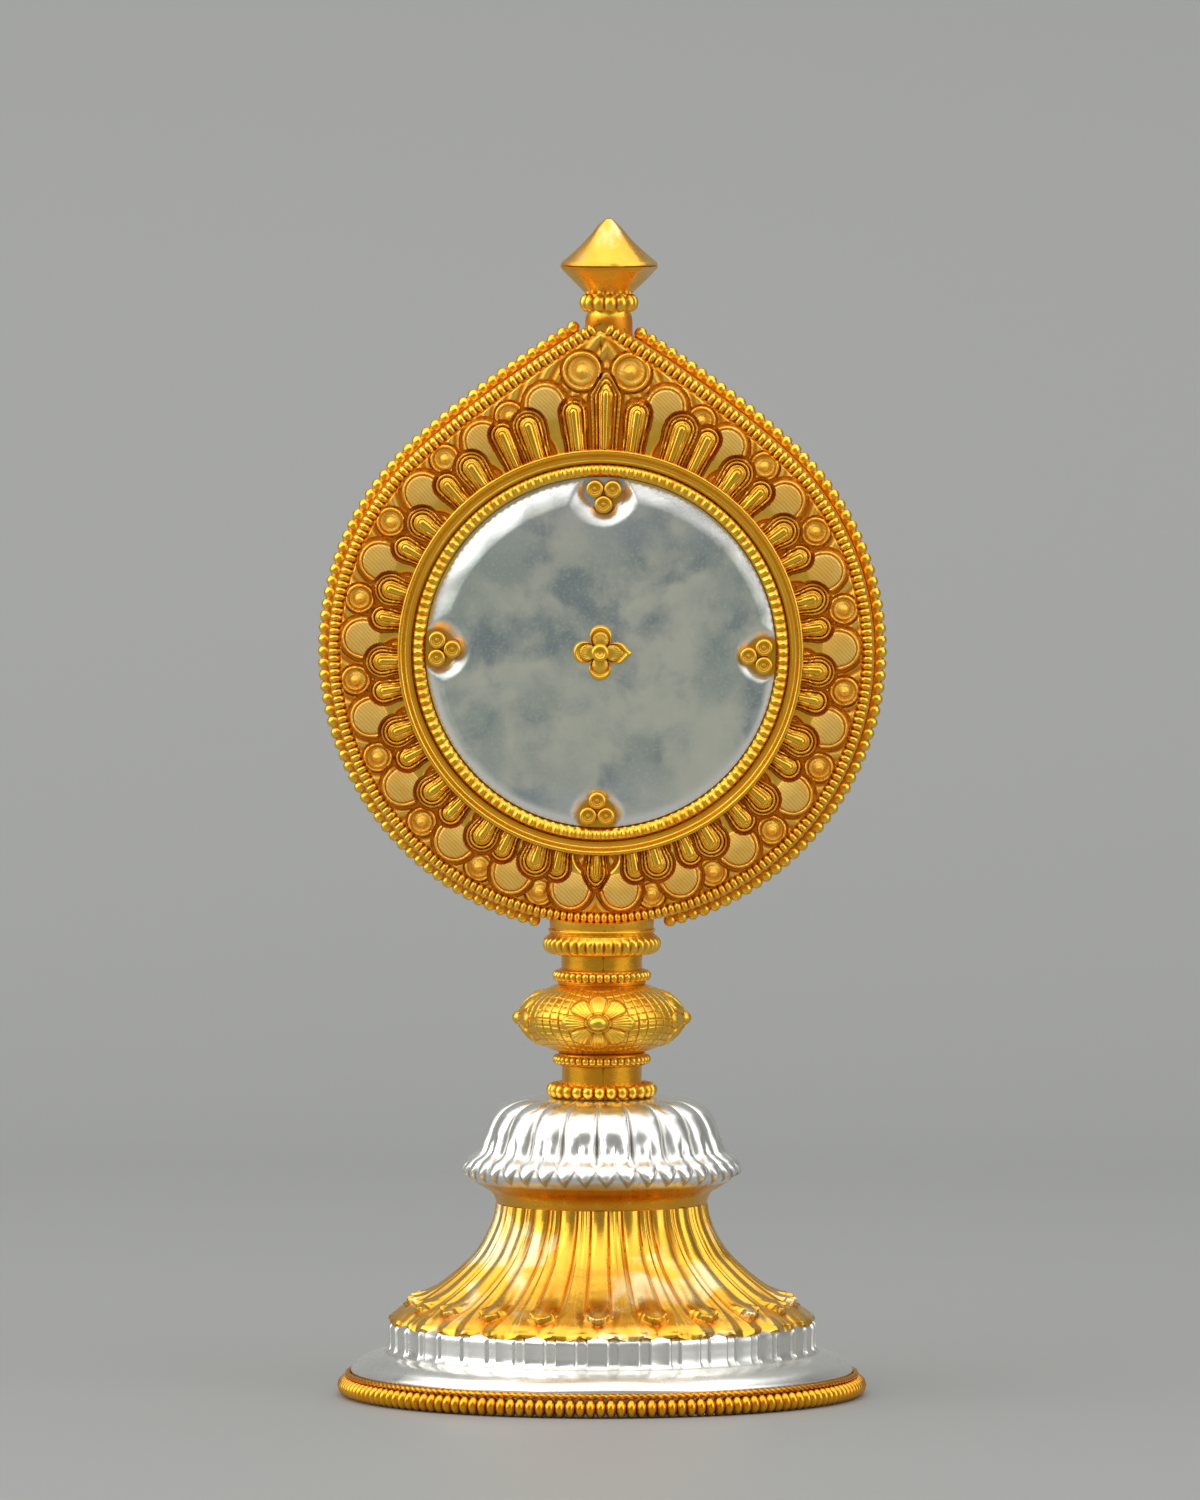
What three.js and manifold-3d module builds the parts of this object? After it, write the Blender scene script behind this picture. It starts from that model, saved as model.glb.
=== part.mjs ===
// A ritual mirror on a lotus stand: a silver mirror in a gilt foliage frame, on a knop and a lotus foot.
// Units are millimetres. The origin is the centre of the underside, +Z is up and the mirror faces -Y.

import * as THREE from 'three';
import { mergeVertices } from 'three/addons/utils/BufferGeometryUtils.js';
import Module from 'manifold-3d';

const wasm = await Module();
wasm.setup();

// Driving dimensions
const TOTAL_HEIGHT = 265;
const CLEARANCE = 0.3;
const SEAT_GAP = 0.1;

const HEAD_CENTRE_Z = 167.6;
const HEAD_RADIUS = 64.1;
const SHOULDER_ANGLE = THREE.MathUtils.degToRad(48);
const SHOULDER_REACH = 22.6;
const APEX_RISE = 78.4;
const CASE_INSET = 2.8;
const CASE_FRONT = 4;
const CASE_BACK = -5;
const CASE_CHAMFER = 0.5;
const BACK_PLATE_THICKNESS = 1.2;
const BACK_PLATE_INSET = 4;
const FRONT_WIRE_INSET = 4.2;
const FRONT_WIRE_RADIUS = 1;
const PLATE_INSET = 5.6;
const PLATE_FACE = 5;
const OUTER_WIRE_RADIUS = 1.3;
const OUTER_WIRE_WAIST = 0.8;
const OUTER_WIRE_SETBACK = -2;
const OUTER_WIRE_PITCH = 2.8;
const OUTER_WIRE_FOOT_HALF_GAP = 14.2;

const MIRROR_TURN = THREE.MathUtils.degToRad(1.2);
const MOULDING_RADIUS = 45.7;
const BEZEL_RADIUS = 42.3;
const MIRROR_RADIUS = 39.3;
const TREFOIL_RADIUS = 37;
const FOLIAGE_INNER = 46.2;
const LOBES_PER_SIDE = 10;
const FIRST_LOBE = 15;
const LOBE_PITCH = 17.95;

const FINIAL_OFFSET = 1.6;
const FINIAL_NECK_RADIUS = 5.3;
const FINIAL_NECK_TOP = 244;
const FINIAL_COLLAR_TOP = 248;
const FINIAL_EDGE_Z = 254.3;
const FINIAL_RADIUS = 11;
const FINIAL_PIN_RADIUS = 1.6;

const BORE = 3.3;
const ROD_RADIUS = 3;
const FLANGE_TOP = 10;
const BAND_TOP = 16.1;
const SKIRT_TOP = 43.2;
const CAP_TOP = 67;
const NECK_LOWER_TOP = 74.4;
const KNOP_BOTTOM = 77;
const KNOP_MIDDLE = 85;
const KNOP_TOP = 93;
const KNOP_RADIUS = 18.2;
const KNOP_HALF_HEIGHT = 9;
const KNOP_RING_TOP = 96;
const NECK_RADIUS = 9.1;
const COLLAR_BOTTOM = 99.3;
const COLLAR_RADIUS = 13.4;
const COLLAR_CROWN = 108;

const FOOT_WIRE_CENTRE = 57.55;
const FOOT_WIRE_RADIUS = 2.15;
const THIN_WIRE_CENTRE = 57.3;
const THIN_WIRE_RADIUS = 0.5;
const THIN_WIRE_Z = 5.05;
const BAND_RADIUS = 48.3;
const BAND_FLUTES = 36;
const SKIRT_PETALS = 21;
const CAP_PETALS = 20;

// Finishes
const gilt = new THREE.MeshStandardMaterial({ color: 0xd39a32, roughness: 0.32, metalness: 1 });
const paleGilt = new THREE.MeshStandardMaterial({ color: 0xc7a877, roughness: 0.5, metalness: 1 });
const silver = new THREE.MeshStandardMaterial({ color: 0xb9b5aa, roughness: 0.3, metalness: 1 });
const mirrorSilver = new THREE.MeshStandardMaterial({ color: 0xc4c2bb, roughness: 0.15, metalness: 1 });
const copper = new THREE.MeshStandardMaterial({ color: 0xa86a3c, roughness: 0.5, metalness: 1 });

// Keeps only positions, joins shared corners and leaves out the slivers at a pole.
function welded(geometry) {
  const bare = geometry.clone();
  bare.deleteAttribute('normal');
  bare.deleteAttribute('uv');
  const merged = mergeVertices(bare);
  const corners = merged.index.array;
  const kept = [];
  for (let i = 0; i < corners.length; i += 3) {
    const [a, b, c] = [corners[i], corners[i + 1], corners[i + 2]];
    if (a !== b && b !== c && c !== a) kept.push(a, b, c);
  }
  merged.setIndex(kept);
  return merged;
}

// Turns a profile of [radius, height] pairs about the vertical axis.
function turned(profile, segments) {
  const points = profile.map(([radius, height]) => new THREE.Vector2(radius, height));
  return welded(new THREE.LatheGeometry(points, segments).rotateX(Math.PI / 2));
}

// A turned ring: the profile closes on itself.
function turnedRing(profile, segments) {
  return turned([...profile, profile[0]], segments);
}

// Skins a run of sections, each the same number of points, into a closed ring or a capped bar.
function lofted(sections, closed) {
  const around = sections[0].length;
  const index = [];
  const spans = closed ? sections.length : sections.length - 1;
  for (let i = 0; i < spans; i++) {
    const here = i * around;
    const next = ((i + 1) % sections.length) * around;
    for (let j = 0; j < around; j++) {
      const k = (j + 1) % around;
      index.push(here + j, next + j, here + k, next + k, here + k, next + j);
    }
  }
  if (!closed) {
    const last = spans * around;
    for (let j = 1; j < around - 1; j++) {
      index.push(0, j, j + 1, last, last + j + 1, last + j);
    }
  }
  const geometry = new THREE.BufferGeometry();
  const places = sections.flat().flatMap((point) => point.toArray());
  geometry.setAttribute('position', new THREE.Float32BufferAttribute(places, 3));
  geometry.setIndex(index);
  return geometry;
}

// A ring about the vertical axis whose [radius, height] section depends on the angle.
function patternedRing(angles, sectionAt) {
  const sections = angles.map((angle) => sectionAt(angle).map(
    ([radius, height]) => new THREE.Vector3(radius * Math.cos(angle), radius * Math.sin(angle), height)));
  return lofted(sections, true);
}

function evenAngles(count) {
  return Array.from({ length: count }, (_, i) => (2 * Math.PI * i) / count);
}

// An oval section round [centreRadius, centreHeight].
function ovalSection(centreRadius, centreHeight, halfWidth, halfHeight, sides) {
  return evenAngles(sides).map((turn) => [
    centreRadius + halfWidth * Math.cos(turn), centreHeight + halfHeight * Math.sin(turn)]);
}

function toManifold(geometry) {
  const bare = welded(geometry);
  return new wasm.Manifold(new wasm.Mesh({
    numProp: 3,
    vertProperties: new Float32Array(bare.attributes.position.array),
    triVerts: new Uint32Array(bare.index.array),
  }));
}

function fromManifold(solid) {
  const mesh = solid.getMesh();
  const geometry = new THREE.BufferGeometry();
  geometry.setAttribute('position', new THREE.BufferAttribute(mesh.vertProperties.slice(), 3));
  geometry.setIndex(new THREE.BufferAttribute(mesh.triVerts.slice(), 1));
  return geometry;
}

function named(name, geometry, material) {
  const mesh = new THREE.Mesh(geometry, material);
  mesh.name = name;
  return mesh;
}

// The head's outline: a circle up to the shoulders, then two flanks that bow slightly and meet in a point.
const SHOULDER_ARC = HEAD_RADIUS * (SHOULDER_ANGLE + Math.PI / 2);
const shoulder = new THREE.Vector2(Math.cos(SHOULDER_ANGLE), Math.sin(SHOULDER_ANGLE)).multiplyScalar(HEAD_RADIUS);
const shoulderRun = new THREE.Vector2(-Math.sin(SHOULDER_ANGLE), Math.cos(SHOULDER_ANGLE));
const flank = new THREE.QuadraticBezierCurve(
  shoulder, shoulder.clone().addScaledVector(shoulderRun, SHOULDER_REACH), new THREE.Vector2(0, APEX_RISE));
const FLANK_LENGTH = flank.getLength();
const HALF_RIM = SHOULDER_ARC + FLANK_LENGTH;
const HALF_RIM_STEPS = 36;

// A place on the outline and its outward direction; length runs from the bottom, first up the right side.
function rimPoint(length) {
  if (length > HALF_RIM) {
    const twin = rimPoint(2 * HALF_RIM - length);
    twin.point.x *= -1;
    twin.normal.x *= -1;
    return twin;
  }
  if (length <= SHOULDER_ARC) {
    const angle = length / HEAD_RADIUS - Math.PI / 2;
    const normal = new THREE.Vector2(Math.cos(angle), Math.sin(angle));
    return { point: normal.clone().multiplyScalar(HEAD_RADIUS), normal };
  }
  const share = (length - SHOULDER_ARC) / FLANK_LENGTH;
  const along = flank.getTangentAt(share);
  return { point: flank.getPointAt(share), normal: new THREE.Vector2(along.y, -along.x) };
}

// The whole outline moved inwards by inset, with a mitred point.
function rimOutline(inset) {
  const right = [];
  for (let i = 0; i <= HALF_RIM_STEPS; i++) {
    const { point, normal } = rimPoint((HALF_RIM * i) / HALF_RIM_STEPS);
    right.push(point.addScaledVector(normal, -inset));
  }
  right[HALF_RIM_STEPS].set(0, APEX_RISE - inset / rimPoint(HALF_RIM).normal.y);
  const left = right.slice(1, -1).reverse().map((point) => new THREE.Vector2(-point.x, point.y));
  return [...right, ...left];
}

// A point of the head's face, forward of the head's middle plane.
function onHead(point, forward) {
  return new THREE.Vector3(point.x, -forward, HEAD_CENTRE_Z + point.y);
}

// A plate of the head's outline, given as [inset, forward] layers from front to back.
function headSlab(layers) {
  return lofted(layers.map(([inset, forward]) => rimOutline(inset).map((point) => onHead(point, forward))), false);
}

// A moulding that runs round the head's outline, with an [inset, forward] section.
function headMoulding(section) {
  const lines = section.map(([inset, forward]) => rimOutline(inset).map((point) => onHead(point, forward)));
  return lofted(lines[0].map((_, i) => lines.map((line) => line[i])), true);
}

function makeHeadCase() {
  return headSlab([
    [CASE_INSET + CASE_CHAMFER, CASE_FRONT], [CASE_INSET, CASE_FRONT - 2 * CASE_CHAMFER], [CASE_INSET, CASE_BACK]]);
}

function makeBackPlate() {
  return headSlab([[BACK_PLATE_INSET, CASE_BACK], [BACK_PLATE_INSET, CASE_BACK - BACK_PLATE_THICKNESS]]);
}

function makeFrontWire() {
  const sides = 4;
  return headMoulding(evenAngles(sides).map((turn) => [
    FRONT_WIRE_INSET - FRONT_WIRE_RADIUS * Math.cos(turn),
    CASE_FRONT + FRONT_WIRE_RADIUS + FRONT_WIRE_RADIUS * Math.sin(turn)]));
}

// One side of the large bead wire: sections are wide in the middle of a bead and narrow between two.
function makeOuterWire(start, end) {
  const sides = 3;
  const beads = Math.round((end - start) / OUTER_WIRE_PITCH);
  const sections = [];
  for (let i = 0; i <= 2 * beads; i++) {
    const { point, normal } = rimPoint(start + ((end - start) * i) / (2 * beads));
    const radius = i % 2 ? OUTER_WIRE_RADIUS : OUTER_WIRE_WAIST;
    sections.push(evenAngles(sides).map((turn) => onHead(
      point.clone().addScaledVector(normal, radius * Math.cos(turn) - OUTER_WIRE_RADIUS),
      OUTER_WIRE_SETBACK + radius * Math.sin(turn))));
  }
  return lofted(sections, false);
}

// A low dome of radius 1 and height 1 that starts a little below its seat.
const DOME_SINK = 0.25;
function dome(segments, rows) {
  const profile = [[0, -DOME_SINK], [1, -DOME_SINK]];
  for (let i = 0; i <= rows; i++) {
    const angle = (Math.PI / 2) * (i / rows);
    profile.push([i === rows ? 0 : Math.cos(angle), Math.sin(angle)]);
  }
  return turned(profile, segments);
}

// How far the foliage reaches from the mirror's centre at an angle clockwise from the top.
function foliageReach(angle) {
  const direction = new THREE.Vector2(Math.sin(angle), Math.cos(angle));
  const outline = rimOutline(PLATE_INSET);
  let reach = 0;
  for (const point of outline) {
    if (point.clone().normalize().dot(direction) > Math.cos(Math.PI / HALF_RIM_STEPS)) {
      reach = Math.max(reach, point.dot(direction));
    }
  }
  return reach;
}

// Sets a raised form on the front plate: share is its place between the mirror's frame and the bead wire.
function raised(form, degrees, share, halfWidth, lengthShare, height) {
  const angle = THREE.MathUtils.degToRad(degrees);
  const width = foliageReach(angle) - FOLIAGE_INNER;
  const geometry = form.clone();
  geometry.scale(halfWidth, width * lengthShare, height);
  geometry.translate(0, FOLIAGE_INNER + width * share, PLATE_FACE);
  geometry.rotateZ(-angle);
  geometry.rotateX(Math.PI / 2);
  geometry.translate(0, 0, HEAD_CENTRE_Z);
  return toManifold(geometry);
}

// The gilt foliage: on each side ten lobes, each with two tongue petals and a spiral cone after it.
function makeFrontPlate() {
  const lobe = dome(7, 2);
  const petal = dome(6, 2);
  const cone = dome(6, 1);
  let plate = toManifold(headSlab([[PLATE_INSET, PLATE_FACE], [PLATE_INSET, CASE_FRONT]]));
  plate = plate.add(raised(petal, 0, 0.5, 2.6, 0.42, 2.4));
  for (let i = 0; i < LOBES_PER_SIDE; i++) {
    for (const side of [1, -1]) {
      const degrees = side * (FIRST_LOBE + LOBE_PITCH * i);
      plate = plate.add(raised(lobe, degrees, 0.58, 3.9, 0.38, 3.2));
      plate = plate.add(raised(cone, degrees - side * 9, 0.74, 2.7, 0.24, 3));
      if (i === LOBES_PER_SIDE - 1) continue;
      plate = plate.add(raised(petal, degrees + side * 5.6, 0.42, 2.1, 0.4, 2.1));
      plate = plate.add(raised(petal, degrees + side * 12.2, 0.42, 2.1, 0.4, 2.1));
    }
  }
  const limit = toManifold(headSlab([[PLATE_INSET, CASE_FRONT + 20], [PLATE_INSET, CASE_FRONT]]));
  return fromManifold(plate.intersect(limit));
}

function makeMirrorDisc() {
  return turned([
    [0, PLATE_FACE], [MIRROR_RADIUS, PLATE_FACE], [MIRROR_RADIUS, 6.6], [38.6, 6.7], [38, 6.1],
    [24, 6.7], [8, 7], [0, 7]], 36);
}

function makeBezel() {
  return turnedRing([
    [MIRROR_RADIUS + CLEARANCE, PLATE_FACE], [BEZEL_RADIUS, PLATE_FACE], [BEZEL_RADIUS, 6.9], [41.4, 7.6],
    [40.3, 7.3], [MIRROR_RADIUS + CLEARANCE, 6.6]], 36);
}

// The hollow moulding between the ribbed ring and the foliage, with a lip on each side.
function makeMoulding() {
  return turnedRing([
    [BEZEL_RADIUS + CLEARANCE, PLATE_FACE], [MOULDING_RADIUS, PLATE_FACE], [MOULDING_RADIUS, 7.6],
    [44.8, 8], [43.8, 6.3], [BEZEL_RADIUS + CLEARANCE, 6.5]], 36);
}

function makeCentreFlower() {
  const outline = evenAngles(24).map((turn) => {
    const reach = 2.6 + 3.9 * Math.abs(Math.cos(2 * turn)) ** 0.7;
    return new THREE.Vector2(reach * Math.cos(turn), reach * Math.sin(turn));
  });
  const petals = new THREE.ExtrudeGeometry(new THREE.Shape(outline), { depth: 0.9, bevelEnabled: false });
  petals.translate(0, 0, 7 + SEAT_GAP);
  return welded(petals);
}

function makeFlowerBoss() {
  return turned([[0, 8.1], [2, 8.1], [1.8, 8.9], [1, 9.4], [0, 9.2]], 12);
}

// Three dimpled beads, two side by side at the mirror's edge and one further in.
function makeTrefoil() {
  const bead = turned([[0, 0], [2.05, 0], [2.05, 0.7], [1.3, 1.4], [0, 1]], 7);
  let solid = null;
  for (const turn of evenAngles(3)) {
    const one = bead.clone().translate(2.2 * Math.sin(turn), -2.2 * Math.cos(turn), 6.7 + SEAT_GAP);
    solid = solid ? solid.add(toManifold(one)) : toManifold(one);
  }
  return fromManifold(solid);
}

function makeFinialNeck() {
  const stem = turned([
    [0, 238], [FINIAL_NECK_RADIUS, 238], [FINIAL_NECK_RADIUS, 242.4], [4.6, FINIAL_NECK_TOP],
    [FINIAL_PIN_RADIUS, FINIAL_NECK_TOP], [FINIAL_PIN_RADIUS, 252], [0, 252]], 20);
  const ridge = headSlab([[CASE_INSET - CLEARANCE, 20], [CASE_INSET - CLEARANCE, -20]]);
  ridge.translate(-FINIAL_OFFSET, 0, 0);
  return fromManifold(toManifold(stem).subtract(toManifold(ridge)));
}

function makeFinialCollar() {
  const beads = 10;
  const bore = FINIAL_PIN_RADIUS + CLEARANCE;
  return patternedRing(evenAngles(beads * 2), (angle) => {
    const swell = 0.9 * Math.abs(Math.cos((beads * angle) / 2));
    return [[bore, FINIAL_NECK_TOP], [4.6, FINIAL_NECK_TOP], [6 + swell, 245.1],
      [6 + swell, 246.9], [5.3, FINIAL_COLLAR_TOP], [bore, FINIAL_COLLAR_TOP]];
  });
}

function makeFinialBottomCone() {
  const bore = FINIAL_PIN_RADIUS + CLEARANCE;
  return turnedRing([
    [bore, FINIAL_COLLAR_TOP], [5.4, FINIAL_COLLAR_TOP], [8.6, 250.8], [FINIAL_RADIUS, FINIAL_EDGE_Z - 0.6],
    [FINIAL_RADIUS, FINIAL_EDGE_Z], [bore, FINIAL_EDGE_Z]], 24);
}

function makeFinialTopCone() {
  return turned([
    [0, FINIAL_EDGE_Z], [FINIAL_RADIUS, FINIAL_EDGE_Z], [FINIAL_RADIUS - 0.4, FINIAL_EDGE_Z + 0.7],
    [8, 257.3], [4.6, 260.4], [1.8, 264.2], [0, TOTAL_HEIGHT]], 24);
}

// A plain turned ring of the stem, rounded on its edge.
function stemRing(bottom, top, radius) {
  const edge = (top - bottom) / 4;
  return turnedRing([
    [BORE, bottom], [radius - 1.4, bottom], [radius, bottom + edge], [radius, top - edge],
    [radius - 1.4, top], [BORE, top]], 20);
}

function sleeve(bottom, top, radius) {
  return turnedRing([[BORE, bottom], [radius, bottom], [radius, top], [BORE, top]], 20);
}

// The knop is a lens; each shell is half of it, from a rim at the middle to a small flat end.
function makeKnopShell(end) {
  const direction = Math.sign(end - KNOP_MIDDLE);
  const endAngle = Math.asin(Math.abs(end - KNOP_MIDDLE) / KNOP_HALF_HEIGHT);
  const rows = 5;
  const outline = [];
  for (let i = 0; i <= rows; i++) {
    const angle = (endAngle * i) / rows;
    outline.push([KNOP_RADIUS * Math.cos(angle), KNOP_MIDDLE + direction * KNOP_HALF_HEIGHT * Math.sin(angle)]);
  }
  outline[rows][1] = end;
  if (direction < 0) outline.reverse();
  const [first, last] = [outline[0][1], outline[rows][1]];
  return turnedRing([[BORE, first], ...outline, [BORE, last]], 24);
}

function knopLens(growth, rows) {
  const profile = [];
  for (let i = 0; i <= rows; i++) {
    const angle = Math.PI * (i / rows - 0.5);
    const radius = i % rows ? (KNOP_RADIUS + growth) * Math.cos(angle) : 0;
    profile.push([radius, KNOP_MIDDLE + (KNOP_HALF_HEIGHT + growth) * Math.sin(angle)]);
  }
  return toManifold(turned(profile, 24));
}

// An eight-petalled flower bent over the knop's edge, with a round boss.
function makeKnopFlower() {
  const outline = evenAngles(16).map((turn) => {
    const reach = 0.8 + 0.2 * Math.abs(Math.cos(4 * turn));
    return new THREE.Vector2(9 * reach * Math.cos(turn), 7 * reach * Math.sin(turn));
  });
  const petals = new THREE.ExtrudeGeometry(new THREE.Shape(outline), { depth: 14, bevelEnabled: false });
  petals.translate(0, 0, 8).rotateX(Math.PI / 2).translate(0, 0, KNOP_MIDDLE);
  const boss = new THREE.SphereGeometry(1.9, 6, 4).translate(0, 1.5 - KNOP_RADIUS, KNOP_MIDDLE);
  boss.translate(0, -1.7, 0);
  return fromManifold(
    toManifold(petals).intersect(knopLens(1.1, 8)).add(toManifold(boss)).subtract(knopLens(CLEARANCE, 10)));
}

// The socket under the head: a rounded roll whose top is hollowed to the head's round edge.
function makeSaddleCollar() {
  const collar = turnedRing([
    [BORE, COLLAR_BOTTOM], [10.4, COLLAR_BOTTOM], [12.7, 100.2], [COLLAR_RADIUS, 101.6], [13.1, 103.2],
    [12, 104.6], [12, COLLAR_CROWN], [BORE, COLLAR_CROWN]], 28);
  const cut = new THREE.CylinderGeometry(
    HEAD_RADIUS - CASE_INSET + CLEARANCE, HEAD_RADIUS - CASE_INSET + CLEARANCE, 60, 144);
  cut.translate(0, 0, HEAD_CENTRE_Z);
  return fromManifold(toManifold(collar).subtract(toManifold(cut)));
}

function makeLotusBeadRing() {
  const beads = 28;
  let narrow = true;
  return patternedRing(evenAngles(beads * 2), () => {
    narrow = !narrow;
    return ovalSection(11, 68.8, narrow ? 1 : 1.6, narrow ? 1.1 : 1.7, 4);
  });
}

// Silver petals over the top of the foot: each swells in the middle and is pinched at its borders.
function makeLotusCap() {
  const angles = [];
  for (let i = 0; i < CAP_PETALS; i++) {
    for (const place of [0, 0.28, 0.72]) angles.push((2 * Math.PI * (i + place)) / CAP_PETALS);
  }
  return patternedRing(angles, (angle) => {
    const pinch = Math.abs(Math.cos((CAP_PETALS * angle) / 2)) > 0.9 ? 1 : 0;
    const at = (radius, depth, height) => [radius - depth * pinch, height];
    return [[BORE, SKIRT_TOP], [24.4, SKIRT_TOP], at(27.4, 0.3, 46.8), at(31.5, 1.6, 50.2), at(31.3, 1.8, 52.4),
      at(28, 1.6, 55.9), at(26.7, 1.4, 60), at(23.5, 1, 64.6), at(18.5, 0.5, 66.6), [12.8, CAP_TOP], [BORE, CAP_TOP]];
  });
}

// One period of the skirt: a wide rounded rib, a groove, a thin rib and a groove, as [place, height] pairs.
const SKIRT_RIBS = [[0, 0], [0.2, 0.9], [0.56, 0.9], [0.76, 0], [0.88, 0.6]];

function makeLotusSkirt() {
  const angles = [];
  const heights = new Map();
  for (let i = 0; i < SKIRT_PETALS; i++) {
    for (const [place, height] of SKIRT_RIBS) {
      const angle = (2 * Math.PI * (i + place)) / SKIRT_PETALS;
      angles.push(angle);
      heights.set(angle, height);
    }
  }
  return patternedRing(angles, (angle) => {
    const sink = 1 - heights.get(angle);
    const at = (radius, depth, height) => [radius - depth * sink, height];
    return [[BORE, BAND_TOP], [48.1, BAND_TOP], at(48, 1.8, 17.8), at(44.3, 1.2, 20), at(38, 1.5, 25),
      at(30.5, 1.2, 31.8), at(24.8, 0.5, SKIRT_TOP), [BORE, SKIRT_TOP]];
  });
}

// The upright silver band: flats with a narrow groove between them.
function makeFlutedBand() {
  const angles = [];
  for (let i = 0; i < BAND_FLUTES; i++) {
    for (const place of [-0.34, 0.34, 0.5]) angles.push((2 * Math.PI * (i + place)) / BAND_FLUTES);
  }
  return patternedRing(angles, (angle) => {
    const groove = Math.cos(BAND_FLUTES * angle) < -0.9;
    const radius = groove ? BAND_RADIUS - 0.9 : BAND_RADIUS;
    return [[BORE, FLANGE_TOP], [radius, FLANGE_TOP], [radius, BAND_TOP], [BORE, BAND_TOP]];
  });
}

const BASE_PLATE_RADIUS = 51;
const BASE_PLATE_THICKNESS = 1.2;
const NUT_RECESS_RADIUS = 8.3;
const NUT_RECESS_TOP = 6.5;
const WASHER_THICKNESS = 1.3;
const NUT_BOTTOM = 2;

function makeFootFlange() {
  return turnedRing([
    [BASE_PLATE_RADIUS + CLEARANCE, 0], [54.9, 0], [54.9, 4.5], [56.3, 4.7], [56.3, 5.6], [55.2, 7.1],
    [52.6, 8.8], [49.2, FLANGE_TOP], [BORE, FLANGE_TOP], [BORE, NUT_RECESS_TOP],
    [NUT_RECESS_RADIUS, NUT_RECESS_TOP], [NUT_RECESS_RADIUS, BASE_PLATE_THICKNESS],
    [BASE_PLATE_RADIUS + CLEARANCE, BASE_PLATE_THICKNESS]], 32);
}

function makeFootWire(centre, height, radius, sides, steps) {
  return patternedRing(evenAngles(steps), () => ovalSection(centre, height, radius, radius, sides));
}

function makeBasePlate() {
  return turned([
    [0, 0], [BASE_PLATE_RADIUS, 0], [BASE_PLATE_RADIUS, BASE_PLATE_THICKNESS], [0, BASE_PLATE_THICKNESS]], 32);
}

function makeTieRod() {
  const top = HEAD_CENTRE_Z - HEAD_RADIUS + CASE_INSET - 1.5;
  return turned([[0, 1.6], [ROD_RADIUS, 1.6], [ROD_RADIUS, top], [0, top]], 16);
}

function makeWasher() {
  const bottom = NUT_RECESS_TOP - WASHER_THICKNESS;
  return turnedRing([[BORE, bottom], [7, bottom], [7, NUT_RECESS_TOP], [BORE, NUT_RECESS_TOP]], 16);
}

function makeNut() {
  const top = NUT_RECESS_TOP - WASHER_THICKNESS;
  const bore = turned([[0, 0], [BORE, 0], [BORE, 10], [0, 10]], 16);
  const body = turned([[0, NUT_BOTTOM], [5.8, NUT_BOTTOM], [5.8, top], [0, top]], 6);
  return fromManifold(toManifold(body).subtract(toManifold(bore)));
}

// Assembly
const object = new THREE.Group();

const finial = new THREE.Group();
finial.position.x = FINIAL_OFFSET;
finial.add(
  named('finial_top_cone', makeFinialTopCone(), gilt),
  named('finial_bottom_cone', makeFinialBottomCone(), gilt),
  named('finial_collar', makeFinialCollar(), gilt),
  named('finial_neck', makeFinialNeck(), gilt),
);

const wireStart = HEAD_RADIUS * Math.asin(OUTER_WIRE_FOOT_HALF_GAP / HEAD_RADIUS);
const head = new THREE.Group();
head.add(
  named('front_plate', makeFrontPlate(), gilt),
  named('front_bead_wire', makeFrontWire(), gilt),
  named('head_case', makeHeadCase(), gilt),
  named('outer_bead_wire_right', makeOuterWire(wireStart, HALF_RIM - 10.5), gilt),
  named('outer_bead_wire_left', makeOuterWire(HALF_RIM + 7.5, 2 * HALF_RIM - wireStart), gilt),
  named('back_plate', makeBackPlate(), gilt),
);

// The mirror's parts are turned to face the front, and stand a little clockwise on the head.
const mirror = new THREE.Group();
mirror.position.set(0, -SEAT_GAP, HEAD_CENTRE_Z);
mirror.rotation.set(Math.PI / 2, MIRROR_TURN, 0, 'YXZ');
mirror.add(
  named('mirror_moulding', makeMoulding(), gilt),
  named('mirror_bezel', makeBezel(), silver),
  named('mirror_disc', makeMirrorDisc(), mirrorSilver),
  named('centre_flower', makeCentreFlower(), paleGilt),
  named('centre_flower_boss', makeFlowerBoss(), paleGilt),
);
['top', 'left', 'bottom', 'right'].forEach((side, i) => {
  const trefoil = named(`trefoil_${side}`, makeTrefoil().translate(0, TREFOIL_RADIUS - 1.4, 0), paleGilt);
  trefoil.rotation.z = (i * Math.PI) / 2;
  mirror.add(trefoil);
});

const stem = new THREE.Group();
stem.add(
  named('saddle_collar', makeSaddleCollar(), gilt),
  named('neck_upper', sleeve(KNOP_RING_TOP, COLLAR_BOTTOM, NECK_RADIUS), gilt),
  named('knop_ring_upper', stemRing(KNOP_TOP, KNOP_RING_TOP, 11.2), gilt),
  named('knop_upper_shell', makeKnopShell(KNOP_TOP), gilt),
  named('knop_lower_shell', makeKnopShell(KNOP_BOTTOM), gilt),
  named('knop_ring_lower', stemRing(NECK_LOWER_TOP, KNOP_BOTTOM, 11.2), gilt),
  named('neck_lower', sleeve(CAP_TOP, NECK_LOWER_TOP, 9), gilt),
  named('tie_rod', makeTieRod(), copper),
);
['front', 'right', 'back', 'left'].forEach((side, i) => {
  const flower = named(`knop_flower_${side}`, makeKnopFlower(), paleGilt);
  flower.rotation.z = (i * Math.PI) / 2;
  stem.add(flower);
});

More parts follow.
